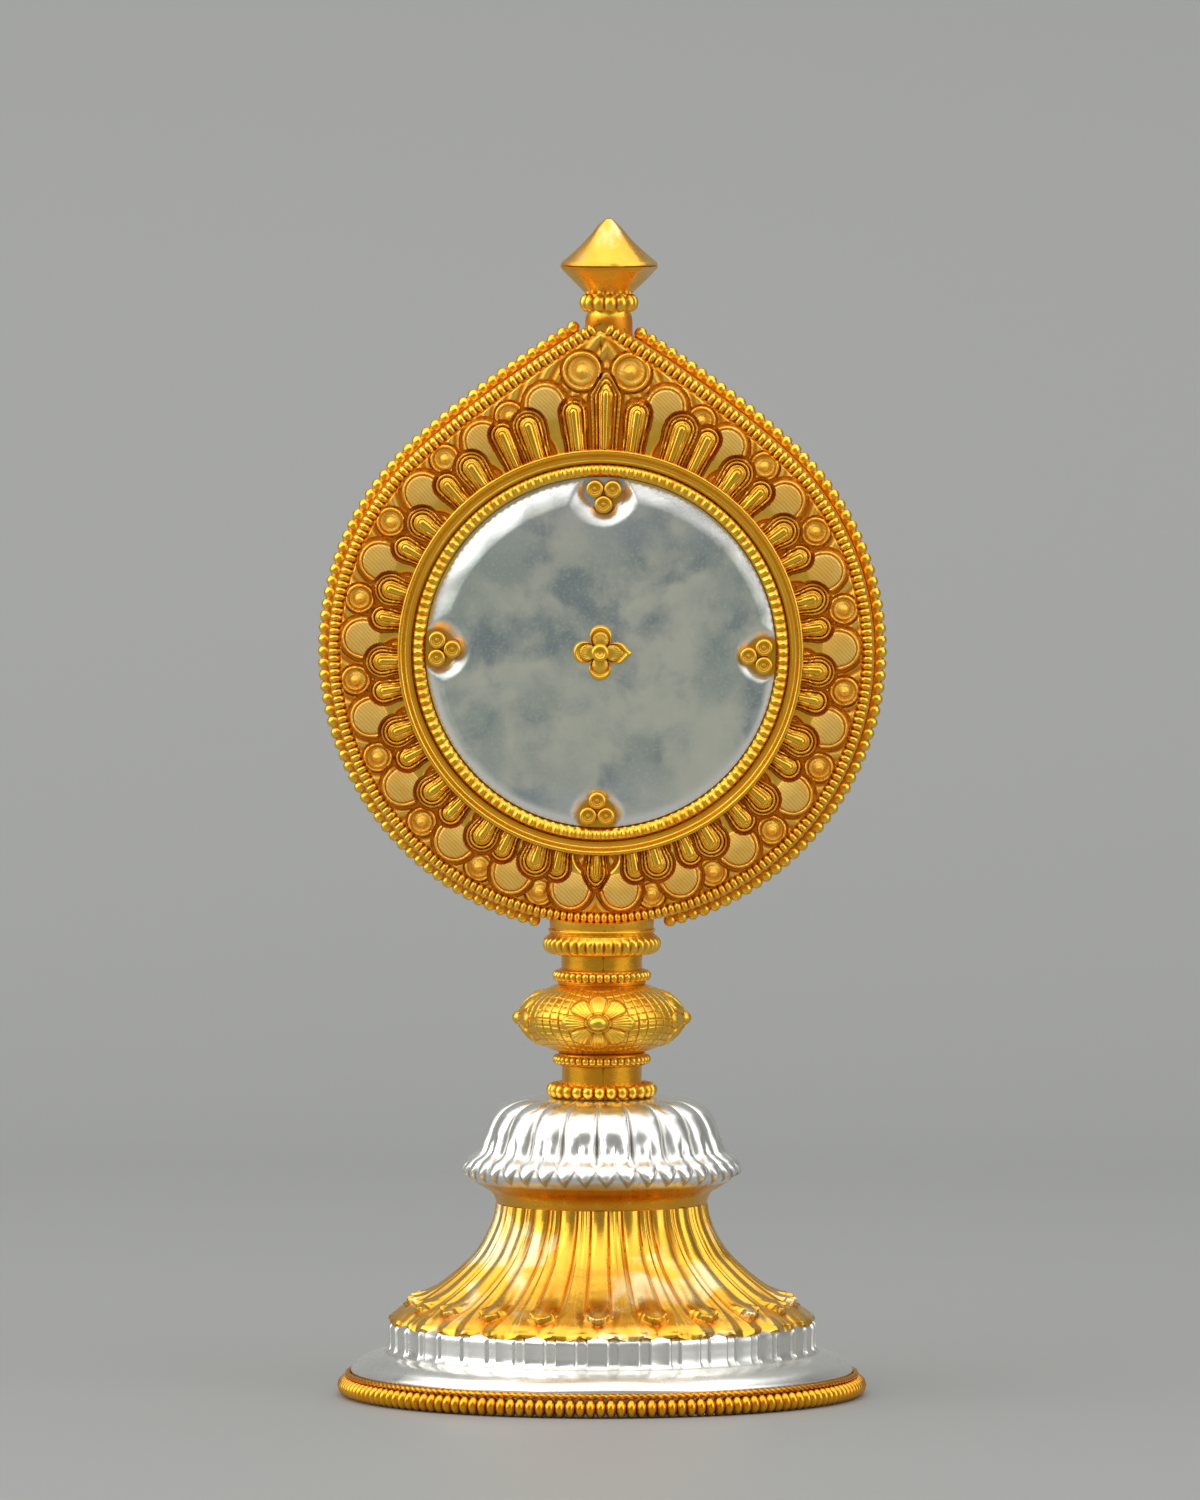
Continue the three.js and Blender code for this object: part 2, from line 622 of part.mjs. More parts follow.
const foot = new THREE.Group();
foot.add(
  named('lotus_bead_ring', makeLotusBeadRing(), gilt),
  named('lotus_cap', makeLotusCap(), silver),
  named('lotus_skirt', makeLotusSkirt(), gilt),
  named('fluted_band', makeFlutedBand(), silver),
  named('foot_flange', makeFootFlange(), silver),
  named('foot_wire', makeFootWire(THIN_WIRE_CENTRE, THIN_WIRE_Z, THIN_WIRE_RADIUS, 3, 48), silver),
  named('foot_bead_wire', makeFootWire(FOOT_WIRE_CENTRE, FOOT_WIRE_RADIUS, FOOT_WIRE_RADIUS, 6, 60), silver),
  named('base_plate', makeBasePlate(), copper),
  named('rod_washer', makeWasher(), copper),
  named('rod_nut', makeNut(), copper),
);

object.add(finial, head, mirror, stem, foot);

export default object;
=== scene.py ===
import math

import bpy
import numpy as np
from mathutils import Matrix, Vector


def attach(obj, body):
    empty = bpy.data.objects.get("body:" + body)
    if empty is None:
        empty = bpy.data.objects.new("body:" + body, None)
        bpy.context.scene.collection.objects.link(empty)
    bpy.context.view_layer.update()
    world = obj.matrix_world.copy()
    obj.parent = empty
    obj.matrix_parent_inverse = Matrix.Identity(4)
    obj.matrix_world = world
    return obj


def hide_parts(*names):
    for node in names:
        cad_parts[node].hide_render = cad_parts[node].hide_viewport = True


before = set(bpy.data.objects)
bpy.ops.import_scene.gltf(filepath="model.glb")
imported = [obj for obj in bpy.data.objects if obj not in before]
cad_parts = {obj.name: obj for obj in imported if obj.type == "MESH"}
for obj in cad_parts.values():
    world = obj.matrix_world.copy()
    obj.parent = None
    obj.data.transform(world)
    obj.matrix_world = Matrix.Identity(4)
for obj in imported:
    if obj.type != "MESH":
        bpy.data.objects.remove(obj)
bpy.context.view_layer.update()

# Sizes are in millimetres, as in the solids, and turn into metres when a mesh is made.
MM = 0.001
HEAD_Z = 167.6
HEAD_R = 64.1
SHOULDER = math.radians(48)
SHOULDER_REACH = 22.6
APEX_RISE = 78.4
CASE_INSET = 2.8
CASE_FRONT = 4.0
CASE_BACK = -5.0
FRONT_WIRE_INSET = 4.2
FRONT_WIRE_PITCH = 1.64
PLATE_INSET = 5.3
PLATE_FACE = 5.0
OUTER_WIRE_SETBACK = -2.0
OUTER_WIRE_PITCH = 2.75
OUTER_WIRE_START = 14.3
OUTER_CORE_R = 1.12
FOLIAGE_IN = 45.7
MIRROR_LEAN = math.radians(1.2)
MIRROR_GAP = 0.1
MIRROR_R = 39.3
BEZEL_RIBS = 138
SADDLE_RIBS = 38
TREFOIL_R = 35.6
FINIAL_X = 1.6
FINIAL_EDGE = 254.3
FINIAL_R = 11.0
COLLAR_BEADS = 13
TOP = 265.0
BORE = 3.3
KNOP_Z = 85.0
KNOP_R = 18.2
KNOP_HALF = 9.0
NET_LINES = 48
CAP_PETALS = 20
SKIRT_PETALS = 21
BAND_FLUTES = 42
FOOT_BEADS = 160

# Angles of the lobes on one side of the foliage, clockwise from the top, in degrees.
LOBE_ANGLES = [13.75, 30.25, 49.25, 68.75, 87.75, 107.0, 125.25, 143.5, 159.25, 174.0]
LOBE_REACH = 53.7
LOBE_R = 4.8
CONE_REACH = 55.4


class Wire:
    """An output of a finish's nodes. Arithmetic on it adds Math nodes."""

    def __init__(self, finish, socket):
        self.finish = finish
        self.socket = socket

    def math(self, operation, *values):
        return self.finish.node("ShaderNodeMath", {"operation": operation}, list(values))

    def __add__(self, other):
        return self.math("ADD", self, other)

    def __radd__(self, other):
        return self.math("ADD", other, self)

    def __sub__(self, other):
        return self.math("SUBTRACT", self, other)

    def __rsub__(self, other):
        return self.math("SUBTRACT", other, self)

    def __mul__(self, other):
        return self.math("MULTIPLY", self, other)

    def __rmul__(self, other):
        return self.math("MULTIPLY", other, self)

    def __truediv__(self, other):
        return self.math("DIVIDE", self, other)

    def __pow__(self, other):
        return self.math("POWER", self, other)


class Finish:
    """A metal finish: one Principled shader and the nodes that feed it."""

    def __init__(self, name, metallic=1.0, coat=0.0):
        self.material = bpy.data.materials.new(name)
        self.material.use_nodes = True
        self.tree = self.material.node_tree
        self.shader = self.tree.nodes["Principled BSDF"]
        self.shader.inputs["Metallic"].default_value = metallic
        self.shader.inputs["Coat Weight"].default_value = coat
        self.shader.inputs["Coat Roughness"].default_value = 0.2
        self.place = self.node("ShaderNodeTexCoord", output="Object")

    def node(self, kind, settings=None, inputs=None, output=0):
        """Adds a node, sets its settings, feeds its inputs by place or by name, and gives one output."""
        made = self.tree.nodes.new(kind)
        for key, value in (settings or {}).items():
            setattr(made, key, value)
        pairs = enumerate(inputs) if isinstance(inputs, list) else (inputs or {}).items()
        for key, value in pairs:
            self.feed(made.inputs[key], value)
        return Wire(self, made.outputs[output])

    def feed(self, socket, value):
        if isinstance(value, Wire):
            self.tree.links.new(value.socket, socket)
        else:
            socket.default_value = value

    def noise(self, scale, detail=3.0, distortion=0.0):
        return self.node("ShaderNodeTexNoise", None, {
            "Vector": self.place, "Scale": scale, "Detail": detail, "Distortion": distortion})

    def ramp(self, value, low, high):
        """0 below low, 1 above high, smooth between."""
        curve = {"interpolation_type": "SMOOTHSTEP"}
        return self.node("ShaderNodeMapRange", curve, [value, low, high, 0.0, 1.0])

    def mix(self, factor, first, second):
        made = self.tree.nodes.new("ShaderNodeMix")
        made.data_type = "RGBA"
        self.feed(made.inputs[0], factor)
        self.feed(made.inputs[6], first)
        self.feed(made.inputs[7], second)
        return Wire(self, made.outputs[2])

    def attribute(self, name):
        return self.node("ShaderNodeAttribute", {"attribute_name": name}, output="Fac")

    def bump(self, height, distance, strength=1.0):
        return self.node("ShaderNodeBump", None, {
            "Height": height, "Distance": distance, "Strength": strength})

    def surface(self, colour, roughness, normal):
        self.feed(self.shader.inputs["Base Color"], colour)
        self.feed(self.shader.inputs["Roughness"], roughness)
        self.feed(self.shader.inputs["Normal"], normal)
        return self.material


def rgb(red, green, blue):
    return (red, green, blue, 1.0)


def gilding(name, bright, warm, deep, polish, grain, worn=0.0):
    """Fire gilding: bright on what is rubbed, warmer in patches, and dull in the hollows, which are painted a
    darker rust-orange as shade.
    """
    f = Finish(name, coat=0.14)
    hollow = f.attribute("hollow")
    patches = f.ramp(f.noise(140.0, 4.0, 0.6), 0.42, 0.66)
    cloud = f.ramp(f.noise(45.0, 2.0), 0.35, 0.7)
    speck = f.ramp(f.noise(900.0, 2.0), 0.64, 0.72)
    colour = f.mix(patches * 0.4 + cloud * 0.2, bright, warm)
    colour = f.mix(f.ramp(f.noise(75.0, 4.0, 0.5), 0.5, 0.64) * worn, colour, rgb(0.93, 0.76, 0.45))
    # Painted shade: the hollow value darkens the colour towards deep.
    colour = f.mix(f.ramp(hollow + patches * 0.18, 0.3, 1.0), colour, deep)
    colour = f.mix(speck * f.ramp(hollow, 0.25, 0.8) * 0.6, colour, rgb(0.12, 0.06, 0.005))
    rough = polish + hollow * 0.22 + patches * 0.08 + speck * 0.1
    height = f.noise(grain, 3.0) * 0.7 + f.noise(grain * 0.22, 2.0, 0.4)
    return f.surface(colour, rough, f.bump(height, 0.00012, 0.4))


def hatched_gilding(name, bright, warm, deep):
    """Gilding that is polished where matt is 0, hatched with chased lines at 0.5, and plain and tan at 1."""
    f = Finish(name, coat=0.14)
    hollow = f.attribute("hollow")
    matt = f.attribute("matt")
    patches = f.ramp(f.noise(160.0, 4.0, 0.6), 0.4, 0.66)
    speck = f.ramp(f.noise(1000.0, 2.0), 0.62, 0.72)
    fine = f.node("ShaderNodeTexWave", {"bands_direction": "DIAGONAL"}, {
        "Vector": f.place, "Scale": 640.0, "Distortion": 1.5, "Detail": 1.0})
    polished = f.mix(patches * 0.5, bright, warm)
    rubbed = f.mix(patches * 0.6, rgb(1.0, 0.68, 0.18), rgb(0.98, 0.56, 0.09))
    rubbed = f.mix(fine * 0.45, rubbed, rgb(0.66, 0.34, 0.05))
    tan = f.mix(patches * 0.5, rgb(0.97, 0.61, 0.1), rgb(0.93, 0.5, 0.05))
    colour = f.mix(f.ramp(matt, 0.0, 0.5), polished, rubbed)
    colour = f.mix(f.ramp(matt, 0.6, 1.0), colour, tan)
    # Painted shade: the hollow value darkens the colour towards deep.
    colour = f.mix(f.ramp(hollow + patches * 0.15, 0.28, 0.95), colour, deep)
    colour = f.mix(speck * f.ramp(hollow, 0.2, 0.7) * 0.5, colour, rgb(0.12, 0.05, 0.004))
    rough = 0.25 + f.ramp(matt, 0.0, 0.5) * 0.33 + hollow * 0.18
    height = fine * matt * 0.8 + f.noise(900.0, 3.0) * 0.5
    return f.surface(colour, rough, f.bump(height, 0.0001, 0.5))


def silvering(name, bright, shade, hollow_tone, polish, dent, dent_depth):
    """Hand-raised silver with grey clouds and dents from the hammer; wash says where gilding runs over it."""
    f = Finish(name)
    hollow = f.attribute("hollow")
    wash = f.attribute("wash")
    cloud = f.ramp(f.noise(38.0, 4.0, 0.8), 0.38, 0.68)
    fine = f.noise(420.0, 5.0)
    speck = f.ramp(f.noise(1300.0, 2.0), 0.68, 0.76)
    colour = f.mix(cloud * 0.8, bright, shade)
    colour = f.mix(f.ramp(fine, 0.35, 0.75) * 0.25, colour, shade)
    # Painted shade: the hollow value darkens the silver towards hollow_tone.
    colour = f.mix(f.ramp(hollow, 0.2, 1.0) * 0.8, colour, hollow_tone)
    colour = f.mix(speck * 0.35, colour, rgb(0.3, 0.27, 0.2))
    colour = f.mix(f.ramp(wash + f.noise(120.0, 4.0, 0.6) * 0.5, 0.6, 0.95), colour, rgb(0.84, 0.44, 0.04))
    rough = polish + cloud * 0.1 + fine * 0.1 + hollow * 0.12
    height = f.noise(dent, 2.0) + fine * 0.12
    return f.surface(colour, rough, f.bump(height, dent_depth, 0.6))


def mirror_silvering(name):
    """Old mirror silver: near white where hollow is 1, a painted highlight and reflection, else clouded grey
    and blue, with fine bright scratches.
    """
    f = Finish(name)
    painted_highlight = f.attribute("hollow")
    cloud = f.ramp(f.noise(62.0, 7.0, 0.25), 0.36, 0.64)
    blue = f.ramp(f.noise(88.0, 7.0, 0.2), 0.48, 0.7)
    fine = f.noise(1300.0, 4.0)
    colour = f.mix(cloud, rgb(0.84, 0.85, 0.73), rgb(0.52, 0.6, 0.55))
    colour = f.mix(blue * 0.75, colour, rgb(0.27, 0.36, 0.41))
    colour = f.mix(f.ramp(fine, 0.5, 0.68) * 0.3, colour, rgb(0.85, 0.85, 0.78))
    # Painted highlight: the colour turns near white where the hollow attribute is high.
    colour = f.mix(f.ramp(painted_highlight + cloud * 0.2, 0.2, 0.95), colour, rgb(0.95, 0.95, 0.92))
    colour = f.mix(f.attribute("wash"), colour, rgb(0.84, 0.44, 0.04))
    rough = 0.32 - painted_highlight * 0.08 + fine * 0.08
    height = f.noise(60.0, 2.0) + fine * 0.06
    return f.surface(colour, rough, f.bump(height, 0.001, 0.4))


def dull_copper():
    f = Finish("dull_copper")
    cloud = f.ramp(f.noise(60.0, 4.0), 0.35, 0.7)
    colour = f.mix(cloud, rgb(0.42, 0.2, 0.1), rgb(0.26, 0.13, 0.08))
    return f.surface(colour, 0.45 + cloud * 0.15, f.bump(f.noise(300.0, 3.0), 0.0002, 0.5))


BRIGHT_GOLD = rgb(0.98, 0.58, 0.06)
WARM_GOLD = rgb(0.93, 0.46, 0.02)
# The colour the gilding darkens towards in its hollows, as painted shade.
HOLLOW_SHADE_GOLD = rgb(0.72, 0.26, 0.01)
PLAIN_GOLD = gilding("burnished_gilding", BRIGHT_GOLD, WARM_GOLD, HOLLOW_SHADE_GOLD, 0.25, 700.0)
WORN_GOLD = gilding("worn_gilding", rgb(0.87, 0.48, 0.05), rgb(0.81, 0.37, 0.02), HOLLOW_SHADE_GOLD,
                    0.24, 600.0, worn=0.7)
# Its third colour is the painted shade of its hollows.
ORANGE_GOLD = gilding("orange_gilding", rgb(0.88, 0.42, 0.02), rgb(0.8, 0.29, 0.01),
                      rgb(0.36, 0.11, 0.004), 0.24, 700.0)
FOLIAGE_GOLD = hatched_gilding("chased_gilding", BRIGHT_GOLD, WARM_GOLD, HOLLOW_SHADE_GOLD)
PALE_GOLD = gilding("pale_gilding", rgb(0.93, 0.57, 0.06), rgb(0.88, 0.43, 0.025), HOLLOW_SHADE_GOLD, 0.3, 800.0)
SILVER = silvering("raised_silver", rgb(0.93, 0.92, 0.88), rgb(0.76, 0.76, 0.73), rgb(0.4, 0.36, 0.27),
                   0.2, 120.0, 0.0001)
MIRROR_SILVER = mirror_silvering("mirror_silver")
COPPER = dull_copper()


def sew(name, points, quads, triangles, material, slot, nodes,
        hollow=None, matt=None, wash=None, crease=38.0):
    """Makes a piece of the object from points in millimetres, turns its faces outwards and lets it ride.

    The tones hollow, matt and wash are kept on the points, where the finishes read them. Hollow paints shade
    into recesses and between parts, and marks dark seams; on the mirror's face it paints a highlight.
    """
    points = np.asarray(points, float).reshape(-1, 3)
    quads = np.asarray(quads, np.int64).reshape(-1, 4)
    triangles = np.asarray(triangles, np.int64).reshape(-1, 3)
    halves = np.concatenate([quads[:, [0, 1, 2]], quads[:, [0, 2, 3]], triangles])
    a, b, c = (points[halves[:, i]] for i in range(3))
    if np.einsum("ij,ij->i", a, np.cross(b, c)).sum() < 0:
        quads = quads[:, ::-1]
        triangles = triangles[:, ::-1]
    mesh = bpy.data.meshes.new(name)
    corners = np.concatenate([quads.ravel(), triangles.ravel()])
    starts = np.concatenate([np.arange(len(quads)) * 4, len(quads) * 4 + np.arange(len(triangles)) * 3])
    mesh.vertices.add(len(points))
    mesh.vertices.foreach_set("co", (points * MM).astype(np.float32).ravel())
    mesh.loops.add(len(corners))
    mesh.loops.foreach_set("vertex_index", corners.astype(np.int32))
    mesh.polygons.add(len(starts))
    mesh.polygons.foreach_set("loop_start", starts.astype(np.int32))
    mesh.polygons.foreach_set("use_smooth", np.ones(len(starts), bool))
    mesh.update(calc_edges=True)
    mesh.validate()
    for key, values in (("hollow", hollow), ("matt", matt), ("wash", wash)):
        if values is not None:
            layer = mesh.attributes.new(key, "FLOAT", "POINT")
            layer.data.foreach_set("value", np.broadcast_to(values, len(points)).astype(np.float32).ravel())
    mesh.set_sharp_from_angle(angle=math.radians(crease))
    piece = bpy.data.objects.new(name, mesh)
    bpy.context.scene.collection.objects.link(piece)
    mesh.materials.append(material)
    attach(piece, "root")
    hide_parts(*nodes)
    return piece


def wrap_faces(rows, columns, close_rows):
    """Quads of a grid whose columns close, and whose last row also joins its first if asked."""
    i, j = np.meshgrid(np.arange(rows if close_rows else rows - 1), np.arange(columns), indexing="ij")
    k = (i + 1) % rows
    n = (j + 1) % columns
    corners = [i * columns + j, k * columns + j, k * columns + n, i * columns + n]
    return np.stack(corners, -1).reshape(-1, 4)


def ring_piece(name, grid, *finish, **more):
    """A closed ring: grid[i][j] runs round the ring with i and round its section with j."""
    sew(name, grid, wrap_faces(*grid.shape[:2], True), [], *finish, **more)


def poled(grid):
    """Points and faces of a grid whose columns close, its first and last rows drawn to one point each."""
    rows, columns = grid.shape[:2]
    inner = grid[1:-1].reshape(-1, 3)
    points = np.concatenate([grid[0].mean(0)[None], inner, grid[-1].mean(0)[None]])
    quads = 1 + wrap_faces(rows - 2, columns, False)
    j = np.arange(columns)
    n = (j + 1) % columns
    last = 1 + (rows - 3) * columns
    end = np.full_like(j, len(points) - 1)
    fans = np.concatenate([
        np.stack([np.zeros_like(j), 1 + j, 1 + n], 1), np.stack([end, last + n, last + j], 1)])
    return points, quads, fans


def capped_piece(name, grid, *finish, crease=38.0, **tones):
    """A grid drawn together at both ends; each tone is painted over it from a grid of its own."""
    points, quads, fans = poled(grid)
    painted = {key: np.concatenate([[tone[0].mean()], tone[1:-1].ravel(), [tone[-1].mean()]])
               for key, tone in tones.items()}
    sew(name, points, quads, fans, *finish, crease=crease, **painted)


def spline(points, count):
    """A smooth curve through the points: cubic between each two, with tangents from their neighbours."""
    p = np.array(points, float)
    t = np.concatenate([[0.0], np.cumsum(np.linalg.norm(np.diff(p, axis=0), axis=1))])
    slope = np.gradient(p, t, axis=0)
    x = np.linspace(0, t[-1], count)
    i = np.clip(np.searchsorted(t, x, side="right") - 1, 0, len(t) - 2)
    span = (t[i + 1] - t[i])[:, None]
    s = ((x - t[i])[:, None]) / span
    return ((2 * s**3 - 3 * s**2 + 1) * p[i] + (s**3 - 2 * s**2 + s) * span * slope[i]
            + (3 * s**2 - 2 * s**3) * p[i + 1] + (s**3 - s**2) * span * slope[i + 1])


def straight(points, step):
    """The points joined by straight runs, with a point at least every step."""
    p = np.array(points, float)
    parts = []
    for a, b in zip(p[:-1], p[1:]):
        count = max(1, int(np.ceil(np.linalg.norm(b - a) / step)))
        parts.append(a + (b - a) * (np.arange(count) / count)[:, None])
    return np.concatenate([*parts, p[-1:]])


def turned(radius, height, theta, x=0.0):
    """Points about the upright axis through x, at angles theta counted from the front to the right.

    Radius and height run along the section, or along theta and then the section.
    """
    radius, height = np.broadcast_arrays(np.asarray(radius, float), np.asarray(height, float))
    if radius.ndim == 1:
        radius = np.broadcast_to(radius, (len(theta), len(radius)))
        height = np.broadcast_to(height, radius.shape)
    across = radius * np.sin(theta)[:, None]
    return np.stack([x + across, -radius * np.cos(theta)[:, None], height], -1)


def around(count):
    """That many angles, evenly spaced round a circle."""
    return 2 * np.pi * np.arange(count) / count


def smooth(x, low, high):
    """0 below low, 1 above high, and an even S between."""
    t = np.clip((x - low) / (high - low), 0, 1)
    return t * t * (3 - 2 * t)


def hill(x, centre, width):
    """A bell curve, 1 at the centre."""
    return np.exp(-(((x - centre) / width) ** 2))


def bored_piece(name, radius, height, theta, ends, *finish, inside=0.0, **tones):
    """A turned ring whose section closes inwards along the bore, between the two end heights."""
    close = turned(np.array([BORE, BORE]), np.array(ends), theta)
    grid = np.concatenate([turned(radius, height, theta), close], 1)
    painted = {key: np.pad(tone, ((0, 0), (0, 2)), constant_values=inside).ravel()
               for key, tone in tones.items()}
    ring_piece(name, grid, *finish, crease=60.0, **painted)


def bead_string(name, centres, along, across, sizes, *finish, **more):
    """Oval beads: each is a small globe stretched to sizes (along, across, third way) on its own axes."""
    polar = np.linspace(0, np.pi, 8)[:, None]
    turn = around(12)
    ball, quads, fans = poled(np.stack([
        np.cos(polar) + 0 * turn, np.sin(polar) * np.cos(turn), np.sin(polar) * np.sin(turn)], -1))
    along = along / np.linalg.norm(along, axis=1, keepdims=True)
    across = across - (across * along).sum(1, keepdims=True) * along
    across = across / np.linalg.norm(across, axis=1, keepdims=True)
    axes = np.stack([along, across, np.cross(along, across)], 1)
    sizes = np.broadcast_to(np.asarray(sizes, float), (len(centres), 3))
    points = centres[:, None] + np.einsum("pk,bk,bkx->bpx", ball, sizes, axes)
    shift = (np.arange(len(centres)) * len(ball))[:, None, None]
    # Painted shade: each bead darkens towards its two ends, where it meets its neighbours.
    tone = np.tile(smooth(np.abs(ball[:, 0]), 0.55, 0.95), len(centres))
    sew(name, points, (quads[None] + shift).reshape(-1, 4), (fans[None] + shift).reshape(-1, 3),
        *finish, hollow=tone, **more)


def bead_ring(name, radius, height, count, sizes, material, node, start=0.0, x=0.0):
    """Beads in a level ring about the upright axis through x, each lying along the ring."""
    theta = around(count) + start
    out = np.stack([np.sin(theta), -np.cos(theta), np.zeros(count)], 1)
    along = np.stack([np.cos(theta), np.sin(theta), np.zeros(count)], 1)
    bead_string(name, radius * out + [x, 0.0, height], along, out, sizes, material, "gilt", [node])


# The head's outline: a circle up to the shoulders, then two flanks that bow a little and meet in a point.
def rim_path(count):
    """Points and outward directions along the outline, up the right side and down the left.

    Also gives how far along each point lies, and the length of one side.
    """
    arc = HEAD_R * (SHOULDER + math.pi / 2)
    start = HEAD_R * np.array([math.cos(SHOULDER), math.sin(SHOULDER)])
    middle = start + SHOULDER_REACH * np.array([-math.sin(SHOULDER), math.cos(SHOULDER)])
    end = np.array([0.0, APEX_RISE])
    t = np.linspace(0, 1, 400)[:, None]
    curve = (1 - t) ** 2 * start + 2 * t * (1 - t) * middle + t * t * end
    angle = np.linspace(-math.pi / 2, SHOULDER, 900)[:-1]
    side = np.concatenate([HEAD_R * np.stack([np.cos(angle), np.sin(angle)], 1), curve])
    length = np.concatenate([[0], np.cumsum(np.linalg.norm(np.diff(side, axis=0), axis=1))])
    run = np.linspace(0, 2 * length[-1], count, endpoint=False)
    mirrored = run > length[-1]
    place = np.where(mirrored, 2 * length[-1] - run, run)
    tangent = np.gradient(side, length, axis=0)
    tangent[:900 - 1] = np.stack([-np.sin(angle), np.cos(angle)], 1)
    point = np.stack([np.interp(place, length, side[:, i]) for i in range(2)], 1)
    slope = np.stack([np.interp(place, length, tangent[:, i]) for i in range(2)], 1)
    normal = np.stack([slope[:, 1], -slope[:, 0]], 1)
    normal /= np.linalg.norm(normal, axis=1, keepdims=True)
    flip = np.where(mirrored, -1.0, 1.0)
    point[:, 0] *= flip
    normal[:, 0] *= flip
    return point, normal, run, length[-1]


def inset_outline(inset, count):
    """The outline moved inwards, with its two flanks cut where they cross on the axis."""
    point, normal, run, half = rim_path(count)
    moved = point - inset * normal
    right = (run > half * 0.5) & (run <= half)
    left = (run > half) & (run < half * 1.5)
    tip = APEX_RISE - inset / normal[np.abs(run - half).argmin(), 1]
    for side, sign in ((right, 1), (left, -1)):
        crossed = side & (moved[:, 0] * sign < 0)
        moved[crossed] = [0.0, tip]
    return moved


def on_head(points, forward):
    """Points [x, up] of the head's face, that far forward of its middle plane."""
    forward = np.broadcast_to(forward, points.shape[:-1])
    return np.stack([points[..., 0], -forward, HEAD_Z + points[..., 1]], -1)


def head_slab(name, layers, *finish, hollow=0.0, **more):
    """A plate of the head's outline: [inset, forward] layers between a point on each face."""
    count = 720
    rows = [on_head(inset_outline(inset, count), forward) for inset, forward in layers]
    first, last = layers[0][1], layers[-1][1]
    centre = np.zeros((count, 2))
    grid = np.stack([on_head(centre, first), *rows, on_head(centre, last)])
    capped_piece(name, grid, *finish, hollow=np.full(grid.shape[:2], hollow), **more)


def wire_along_rim(inset, start, end, pitch):
    """Bead centres, directions and outward directions along the outline between two lengths."""
    point, normal, run, half = rim_path(6000)
    line = point - inset * normal
    total = end - start
    count = int(round(total / pitch))
    where = start + (np.arange(count) + 0.5) * total / count
    centre = np.stack([np.interp(where, run, line[:, i]) for i in range(2)], 1)
    out = np.stack([np.interp(where, run, normal[:, i]) for i in range(2)], 1)
    return centre, out


def rim_beads(name, centre, out, forward, sizes, node):
    """Beads along the outline, each with its second axis pointing outwards."""
    level = np.zeros(len(out))
    along = np.stack([-out[:, 1], level, out[:, 0]], 1)
    outward = np.stack([out[:, 0], level, out[:, 1]], 1)
    bead_string(name, on_head(centre, forward), along, outward, sizes, PLAIN_GOLD, "gilt", [node])


def make_head():
    """The plain band and back, and two strings of beads that follow the outline.

    The outer string is in two lengths. Its beads sit on a round core, which is a circle carried along the
    outline. The front string leaves a gap at the point, where its two sides would run into each other.
    """
    half = rim_path(10)[3]
    head_slab("head_side_band", [[3.4, CASE_FRONT], [3.1, CASE_FRONT], [CASE_INSET, 3.3], [CASE_INSET, -4.4],
                                 [3.1, CASE_BACK], [3.6, CASE_BACK]],
              PLAIN_GOLD, "gilt", ["head_case"], hollow=0.45)
    head_slab("plain_back", [[4.6, CASE_BACK], [4.0, -5.15], [4.0, -6.0], [4.5, -6.2], [6.5, -6.2]],
              PLAIN_GOLD, "gilt", ["back_plate"], hollow=0.1)
    start = HEAD_R * math.asin(OUTER_WIRE_START / HEAD_R)
    section = around(10)
    for side, first, last in (("right", start, half - 9.8), ("left", half + 7.2, 2 * half - start)):
        node = f"outer_bead_wire_{side}"
        centre, out = wire_along_rim(1.5, first, last, OUTER_WIRE_PITCH)
        wobble = 1 + 0.05 * np.sin(np.arange(len(out)) * 2.7)
        sizes = np.stack([1.44 * wobble, np.full(len(out), 1.5), np.full(len(out), 1.5)], 1)
        rim_beads(f"outer_beads_{side}", centre, out, OUTER_WIRE_SETBACK, sizes, node)
        centre, out = wire_along_rim(2.0, first + 1.0, last - 1.0, 0.9)
        ring = np.stack([out[:, :1] * np.cos(section), 0 * out[:, :1] + np.sin(section),
                         out[:, 1:] * np.cos(section)], -1)
        tube = on_head(centre, OUTER_WIRE_SETBACK)[:, None] + OUTER_CORE_R * ring
        # Painted shade: the core, seen only between the beads, is painted dark.
        capped_piece(f"outer_core_{side}", tube, PLAIN_GOLD, "gilt", [node],
                     hollow=np.full(tube.shape[:2], 0.85), crease=60.0)
    centre, out = wire_along_rim(FRONT_WIRE_INSET, 0.0, 2 * half, FRONT_WIRE_PITCH)
    keep = ~((centre[:, 0] * np.sign(out[:, 0]) < 1.0) & (centre[:, 1] > 0))
    rim_beads("front_beads", centre[keep], out[keep], CASE_FRONT + 0.9, (0.86, 1.5, 1.25), "front_bead_wire")


def outline_reach(angle):
    """Distance from the mirror's centre to the foliage's outer edge, at angles clockwise from the top."""
    edge = inset_outline(PLATE_INSET, 4000)
    turn = np.arctan2(edge[:, 0], edge[:, 1])
    order = np.argsort(turn)
    reach = np.hypot(edge[:, 0], edge[:, 1])
    return np.interp(angle, turn[order], reach[order], period=2 * np.pi)


